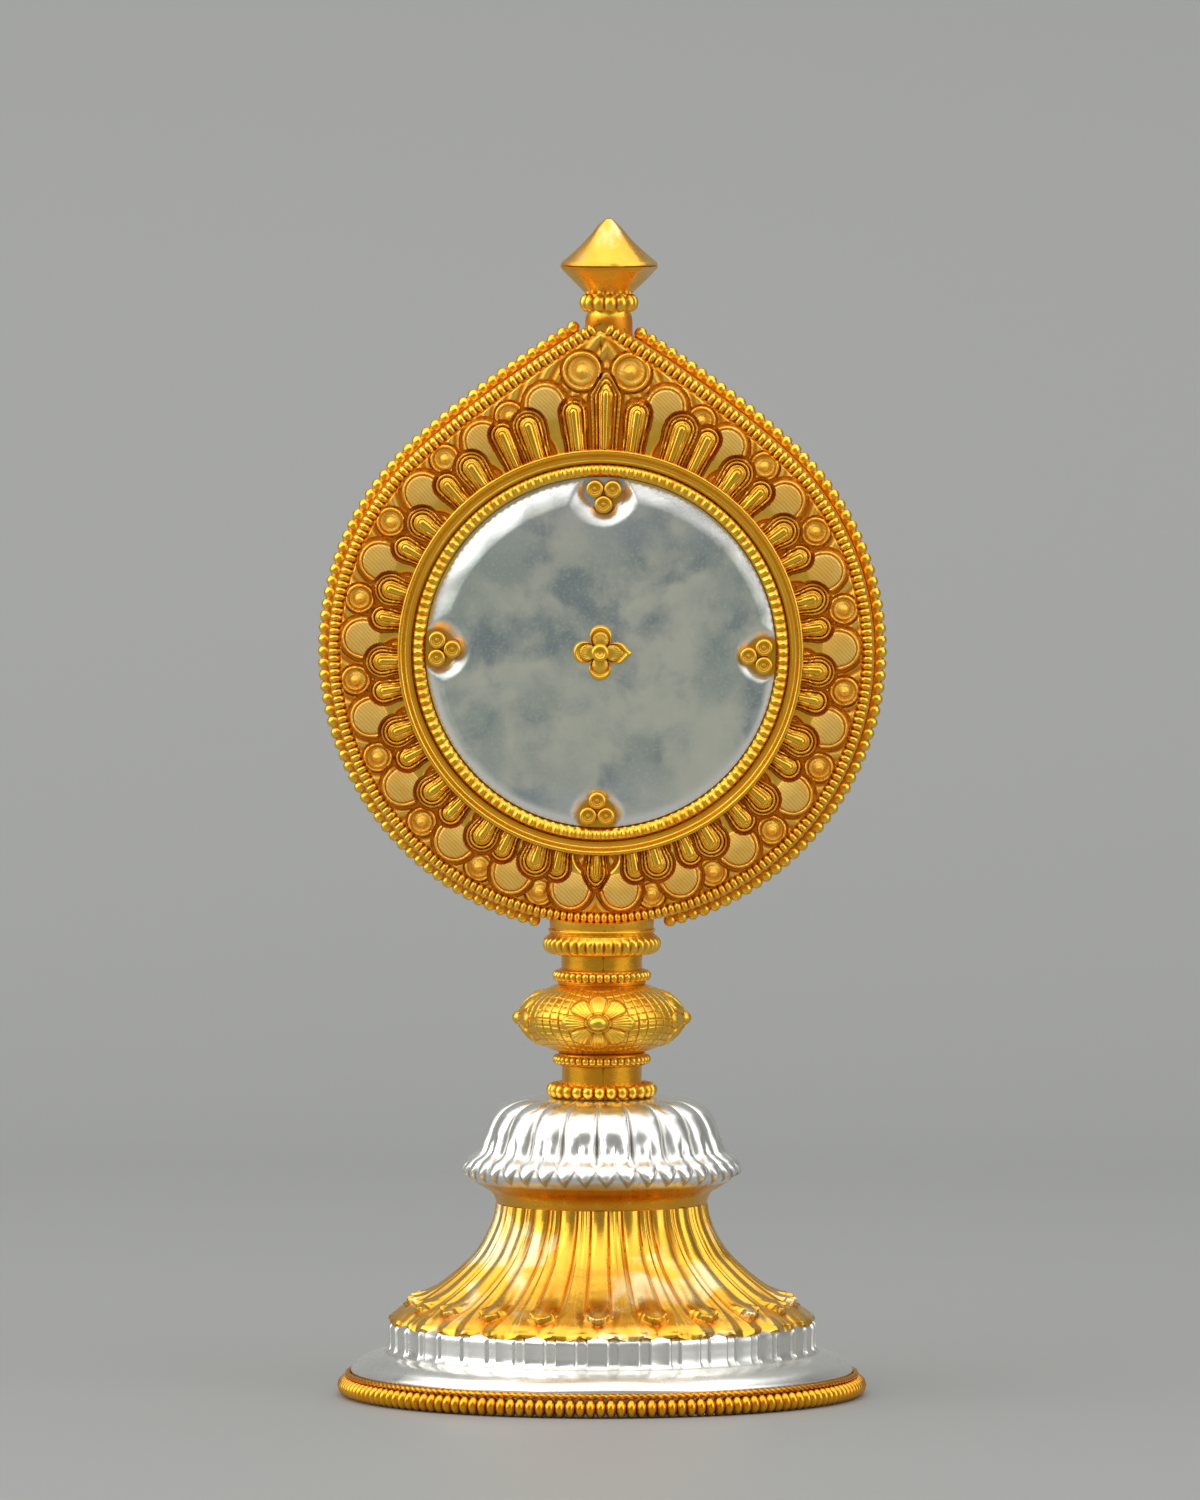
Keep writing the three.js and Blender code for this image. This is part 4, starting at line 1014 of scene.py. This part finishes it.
def make_lotus_skirt():
    """Two rows of gilt petals: slim ones end in a lifted spoon, and those between flare to a zigzag edge.

    Each row is a round arch across its petals, higher towards the foot. The larger of the two is added to
    the section's radius, so the slim petals lie over the broad ones, which also have a pair of fine ridges.
    """
    theta = around(SKIRT_PETALS * 44)
    line = spline([
        [24.5, 43.2], [24.9, 40.5], [26.6, 36.0], [29.0, 32.0], [32.2, 28.6], [36.2, 25.2], [40.4, 22.3],
        [43.6, 20.4], [45.9, 18.9], [47.3, 17.4], [47.7, 16.0]], 96)
    along = np.linspace(0, 1, len(line))
    phase = np.abs((theta * SKIRT_PETALS / (2 * np.pi) + 0.42) % 1 - 0.5)[:, None]
    across = np.clip(phase / (0.27 - 0.04 * along), 0, 1)
    end = 0.87 - 0.06 * across**1.6
    open_end = 1 - smooth(along, end, end + 0.02)
    spoon = smooth(along, end - 0.13, end - 0.02) * (across < 1)
    ridge = np.sqrt(1 - across**2) * (1 - 0.6 * spoon) + spoon * (0.25 + 0.45 * hill(across, 0.85, 0.16))
    slim = (ridge * (0.75 + 1.1 * along) + 0.25 * spoon) * open_end
    broad_width = 0.2 + 0.05 * along + 0.26 * smooth(along, 0.72, 0.97)
    offset = np.clip((0.5 - phase) / broad_width, 0, 1)
    broad = np.sqrt(1 - offset**2) * (0.55 + 0.95 * along)
    broad += 0.3 * hill(offset, 0.42, 0.13) * (0.4 + along) - 0.25 * hill(offset, 0.0, 0.12)
    swell = np.maximum(slim, broad)
    radius = np.minimum(line[:, 0] - 1.35 + 1.05 * swell, 48.1)
    zigzag = 1 - np.abs(4 * phase - 1)
    height = line[:, 1] + 0.8 * slim * smooth(along, 0.6, 0.87) + 1.1 * zigzag * smooth(along, 0.93, 1.0)
    # Painted shade in the gutters between the petals and down the middle of the broad ones, and a painted
    # shadow just below each spoon's tip.
    gutter = np.clip(1 - swell / (0.5 + 0.5 * along), 0, 1)
    under = hill(along, end + 0.02, 0.01) * (across < 0.95)
    tone = np.clip(gutter * 0.75 + 0.7 * under + 0.2 * hill(offset, 0.0, 0.1), 0, 1)
    bored_piece("lotus_skirt_petals", radius, np.maximum(height, 15.75), theta, (15.9, 43.2),
                WORN_GOLD, "gilt", ["lotus_skirt"], hollow=tone)


def make_foot():
    """The fluted silver band, the sloping silver rim, and the gilt beads and twisted wires at its edge.

    Each is a section turned about the stand's axis. The band steps in at narrow grooves between bowed flats,
    the rim sways a little with the angle, and a wire's round section turns as it goes.
    """
    theta = around(BAND_FLUTES * 20)
    line = np.concatenate([straight([[BORE, 9.8], [48.0, 9.8]], 12), spline([
        [48.6, 9.9], [48.2, 11.0], [48.1, 13.5], [48.0, 16.0], [47.0, 17.0]], 20), [[BORE, 17.0]]])
    phase = ((theta * BAND_FLUTES / (2 * np.pi) + 0.34) % 1 - 0.5)[:, None]
    groove = smooth(np.abs(phase), 0.32, 0.37)
    bow = -0.25 * (1 - (phase / 0.36) ** 2) * (1 - groove)
    side = line[:, 0] > 46.5
    radius = line[:, 0] + (bow - 0.75 * groove) * side * smooth(line[:, 1], 9.6, 10.8)
    # Painted shade in the grooves between the flutes and at the band's foot.
    tone = (hill(np.abs(phase), 0.36, 0.02) * 0.5 + groove * 0.15) * side + hill(line[:, 1], 9.9, 0.4) * 0.4
    ring_piece("fluted_silver_band", turned(radius, line[:, 1], theta), SILVER, "silver", ["fluted_band"],
               hollow=np.clip(tone, 0, 1).ravel(), crease=45.0)

    theta = around(420)
    outer = spline([[54.9, 4.35], [56.2, 4.75], [56.5, 5.5], [55.7, 6.9], [53.6, 8.3], [51.6, 9.05],
                    [49.6, 9.5], [48.4, 9.95]], 44)
    line = np.concatenate([[[51.3, 0.0], [54.9, 0.0]], outer, [[BORE, 9.95], [BORE, 6.5], [51.3, 1.2]]])
    wave = (0.12 * np.sin(7 * theta + 1) + 0.08 * np.sin(13 * theta))[:, None]
    sway = wave * np.concatenate([[0, 0], hill(np.linspace(0, 1, len(outer)), 0.5, 0.3), [0, 0, 0]])
    # Painted shade under the twisted wires and where the band meets the rim.
    tone = hill(line[:, 1], 4.6, 0.4) * 0.8 + hill(line[:, 1], 9.9, 0.35) * 0.7 * (line[:, 0] > 47)
    ring_piece("sloping_silver_rim", turned(line[:, 0] + sway * 0.5, line[:, 1] + sway, theta),
               SILVER, "silver", ["foot_flange"], hollow=np.clip(tone + 0 * sway, 0, 1).ravel(), crease=50.0)

    bead_ring("foot_beads", 57.5, 2.15, FOOT_BEADS, (1.28, 2.15, 2.13), ORANGE_GOLD, "foot_bead_wire")
    theta = around(2400)
    turns = around(8)
    twist = 1 + 0.2 * np.cos(2 * turns + theta[:, None] * 210)
    # Painted shade in the grooves between the wire's strands.
    tone = np.clip(np.clip(1.2 - twist, 0, 1) * 2.2, 0, 1).ravel()
    for k, (radius, height, size) in enumerate(((57.2, 4.75, 0.55), (56.0, 5.25, 0.4))):
        rope = size * twist
        grid = turned(radius + rope * np.cos(turns), height + rope * np.sin(turns), theta)
        ring_piece(f"twisted_wire_{k + 1}", grid, ORANGE_GOLD, "gilt", ["foot_wire"],
                   hollow=tone, crease=70.0)


def dress_hidden_nodes():
    """The sheet and rod that hold the stand together keep their own shapes and get a copper finish."""
    for node in ("base_plate", "tie_rod", "rod_washer", "rod_nut"):
        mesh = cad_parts[node].data
        mesh.materials.clear()
        mesh.materials.append(COPPER)


def plain_surface(name, colour, rough):
    """A plain matt grey that shows on its front side only, so that the object is also seen from behind it."""
    f = Finish(name, metallic=0.0)
    tone = f.noise(2.5, 2.0)
    f.feed(f.shader.inputs["Base Color"], f.mix(tone * 0.25, colour, rgb(*(c * 0.93 for c in colour[:3]))))
    f.shader.inputs["Roughness"].default_value = rough
    f.shader.inputs["Specular IOR Level"].default_value = 0.25
    behind = f.node("ShaderNodeNewGeometry", output="Backfacing")
    clear = f.node("ShaderNodeBsdfTransparent")
    shown = f.node("ShaderNodeMixShader", None, [behind, Wire(f, f.shader.outputs[0]), clear])
    f.tree.links.new(shown.socket, f.tree.nodes["Material Output"].inputs["Surface"])
    return f.material


def make_stage():
    """A pale floor that sweeps up into a backdrop: flat, then a quarter circle, then a wall."""
    back, bend = 0.62, 0.5
    flat = np.array([[-3.0, 0.0], [back, 0.0]])
    angle = np.linspace(0, math.pi / 2, 24)[1:]
    arc = np.stack([back + bend * np.sin(angle), bend * (1 - np.cos(angle))], 1)
    line = np.concatenate([flat, arc, [[back + bend, 3.5]]])
    xs = np.array([-3.5, 3.5])
    ends = (len(line), 2)
    points = np.stack([np.broadcast_to(xs, ends), np.broadcast_to(line[:, :1], ends),
                       np.broadcast_to(line[:, 1:], ends)], -1).reshape(-1, 3)
    rows = np.arange(len(line) - 1) * 2
    quads = np.stack([rows, rows + 1, rows + 3, rows + 2], 1)
    mesh = bpy.data.meshes.new("studio_floor")
    mesh.from_pydata(points.tolist(), [], quads.tolist())
    mesh.polygons.foreach_set("use_smooth", np.ones(len(quads), bool))
    mesh.materials.append(plain_surface("grey_floor", rgb(0.28, 0.284, 0.276), 0.5))
    floor = bpy.data.objects.new("studio_floor", mesh)
    bpy.context.scene.collection.objects.link(floor)


def softbox(name, place, aim, width, height, power):
    lamp = bpy.data.lights.new(name, "AREA")
    lamp.shape = "RECTANGLE"
    lamp.size = width
    lamp.size_y = height
    lamp.energy = power
    holder = bpy.data.objects.new(name, lamp)
    holder.location = place
    holder.rotation_euler = (Vector(aim) - Vector(place)).to_track_quat("-Z", "Y").to_euler()
    bpy.context.scene.collection.objects.link(holder)


def make_light():
    middle = (0.0, 0.0, 0.13)
    softbox("left_box", (-1.5, -0.35, 0.75), middle, 1.5, 1.3, 12.0)
    softbox("right_box", (1.45, -0.65, 0.7), middle, 1.4, 1.3, 9.0)
    softbox("front_box", (-1.3, -1.7, 1.35), middle, 0.9, 0.9, 4.5)
    softbox("top_box", (-0.1, -0.35, 1.65), (-0.1, -0.35, 0.0), 3.2, 2.7, 40.0)
    world = bpy.data.worlds.new("studio")
    world.use_nodes = True
    tree = world.node_tree
    path = tree.nodes.new("ShaderNodeLightPath")
    shade = tree.nodes.new("ShaderNodeMix")
    shade.data_type = "RGBA"
    shade.inputs[6].default_value = rgb(0.5, 0.5, 0.49)
    shade.inputs[7].default_value = rgb(0.3, 0.3, 0.29)
    tree.links.new(path.outputs["Is Glossy Ray"], shade.inputs[0])
    tree.links.new(shade.outputs[2], tree.nodes["Background"].inputs["Color"])
    bpy.context.scene.world = world


def make_camera():
    """Far off and a little above, aimed at the middle of the picture."""
    distance, rise, yaw = 4.0, math.radians(3.4), math.radians(2.5)
    aim = Vector((-0.0004, 0.0, 0.1453))
    back = Vector((math.sin(yaw) * math.cos(rise), -math.cos(yaw) * math.cos(rise), math.sin(rise)))
    lens = bpy.data.cameras.new("camera")
    lens.lens = 427.0
    lens.sensor_width = 36.0
    lens.clip_end = 50.0
    camera = bpy.data.objects.new("camera", lens)
    camera.location = aim + back * distance
    camera.rotation_euler = (-back).to_track_quat("-Z", "Y").to_euler()
    bpy.context.scene.collection.objects.link(camera)
    bpy.context.scene.camera = camera


make_camera()
make_stage()
make_light()
make_head()
make_foliage()
make_mirror_frame()
make_mirror_disc()
make_trefoils()
make_centre_flower()
make_finial()
make_stem()
make_knop()
make_knop_flowers()
make_lotus_cap()
make_lotus_skirt()
make_foot()
dress_hidden_nodes()

bpy.context.scene.view_settings.view_transform = "Standard"
